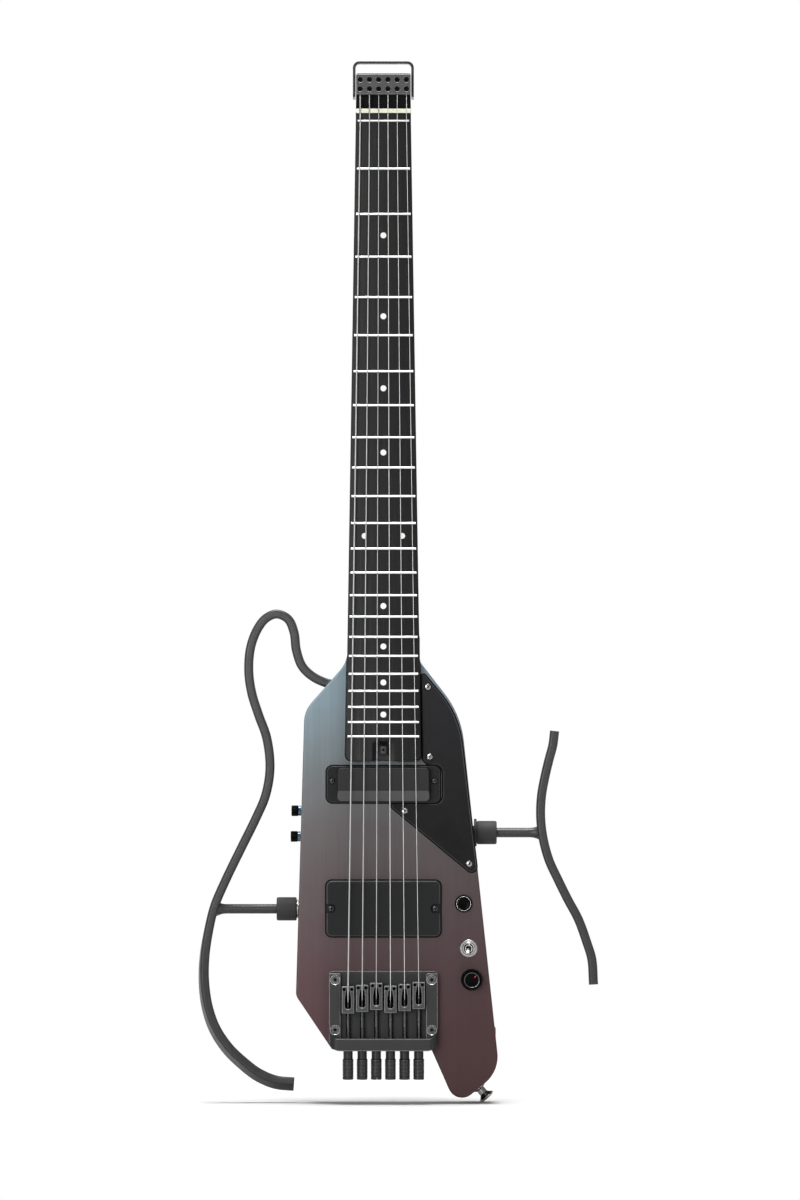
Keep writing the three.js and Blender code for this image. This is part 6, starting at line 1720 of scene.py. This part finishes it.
def finish_inner_nodes():
    """Finishes for what is out of sight, which keeps its packed form"""
    for name, finish in {
        "truss_rod": "deep_black", "mode_switch": "black_plastic", "volume_pot": "steel",
        "side_pot_upper": "chrome", "side_pot_lower": "chrome", "circuit_board": "circuit_board",
        "battery": "battery",
    }.items():
        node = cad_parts[name]
        node.data.materials.clear()
        node.data.materials.append(FINISHES[finish])


# Stage
WHITE = tint(1.0)


def make_world():
    """White where it is looked at; in reflections it is white behind and above, and dimmer in front"""
    world = bpy.data.worlds.new("studio")
    bpy.context.scene.world = world
    graph = Graph(world, "Background", {"Color": WHITE})
    generated = graph.node("TexCoord", {}).outputs["Generated"]
    direction = graph.node("SeparateXYZ", {0: generated}).outputs
    backdrop = graph.spread(direction["Y"], MIRRORED_FRONT, 1.0, -0.3, 0.3)
    overhead = graph.pick(graph.spread(direction["Z"], 0.0, 1.0, 0.25, 0.85), 0.0, 1.0)
    mirrored = graph.math("MAXIMUM", backdrop, overhead)
    soft = graph.spread(direction["Z"], WORLD_LEVEL, WORLD_OVERHEAD, 0.25, 0.6)
    level = graph.pick(graph.rays("Glossy"), soft, mirrored)
    level = graph.pick(graph.rays("Camera", "Transmission"), level, 1.0)
    graph.feed(graph.shader.inputs["Strength"], level)


def make_lamps():
    """Three area lamps that look at the guitar"""
    aim = TO_ROW @ Vector(LAMP_AIM)
    for name, place, (width, height), power in LAMPS:
        lamp = bpy.data.lights.new(name, "AREA")
        lamp.shape = "RECTANGLE"
        lamp.size, lamp.size_y = width * MM, height * MM
        lamp.energy = power
        made = linked(name, lamp)
        made.location = TO_ROW @ Vector(place)
        made.rotation_euler = (aim - made.location).to_track_quat("-Z", "Y").to_euler()


def make_floor(level):
    """A pale floor that fades to the world's white away from the object, and keeps its shadow"""
    mesh = bpy.data.meshes.new("floor")
    corners = [(x * FLOOR_HALF, y * FLOOR_HALF, level) for x, y in ((-1, -1), (1, -1), (1, 1), (-1, 1))]
    mesh.from_pydata(corners, [], [(0, 1, 2, 3)])
    graph = surface("floor", {"Specular IOR Level": 0.0, "Emission Color": WHITE})
    position = graph.node("NewGeometry", {}).outputs["Position"]
    flat = graph.node("VectorMath", {0: position, 1: (1, 1, 0)}, operation="MULTIPLY").outputs[0]
    away = graph.node("VectorMath", {0: flat}, operation="LENGTH").outputs["Value"]
    fade = graph.spread(away, 0.0, 1.0, FLOOR_NEAR, FLOOR_FAR, interpolation_type="SMOOTHSTEP")
    glow = graph.pick(graph.rays("Camera", "Glossy", "Transmission"), 0.0, fade)
    graph.feed(graph.shader.inputs["Emission Strength"], glow)
    mesh.materials.append(graph.finish(graph.pick(fade, FLOOR_LEVEL, 0.0), 0.9))
    made = linked("floor", mesh)
    made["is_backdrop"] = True


def make_camera():
    """In front of the guitar, at the height of the photograph's middle"""
    data = bpy.data.cameras.new("camera")
    data.sensor_fit = "VERTICAL"
    data.sensor_height = SENSOR_HEIGHT
    data.lens = SENSOR_HEIGHT * CAMERA_DISTANCE / PHOTO_HEIGHT
    data.clip_end = 50
    made = linked("camera", data)
    x, y, z = CAMERA_AIM
    made.location = TO_ROW @ Vector((x, y - CAMERA_DISTANCE, z))
    made.rotation_euler = (pi / 2, 0, 0)
    bpy.context.scene.camera = made


make_camera()
make_neck()
make_fingerboard()
make_frets()
make_dots()
make_truss_wheel()
make_nut()
make_head_block()
make_head_bail()
make_body()
make_pickguard()
make_control_cover()
make_neck_screws()
make_pickup_ring()
make_neck_pickup()
make_bridge_pickup()
make_bridge_base()
make_bridge_floor()
for string in STRINGS:
    make_string(string)
    make_saddle(string)
    make_tuner_screw(string)
make_mode_button()
make_toggle()
make_volume()
for knob, share in SIDE_KNOB_SHARES.items():
    make_side_knob(knob, share)
make_jack()
make_strap_buttons()
make_arm("arm_left", -1, LEFT_STRUT, LEFT_WAY, lower_twist, PLUG_TAPER)
make_arm("arm_right", 1, RIGHT_STRUT, RIGHT_WAY)
for arm, (sign, z, _, thickness, _) in SOCKETS.items():
    make_collar(f"collar_{arm}", sign, z, thickness)
for arm, socket in SOCKETS.items():
    make_socket(f"socket_{arm}", *socket)
finish_inner_nodes()
make_world()
make_lamps()
make_floor(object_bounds()[0][2] - FLOOR_DROP)

bpy.context.scene.view_settings.view_transform = "Standard"
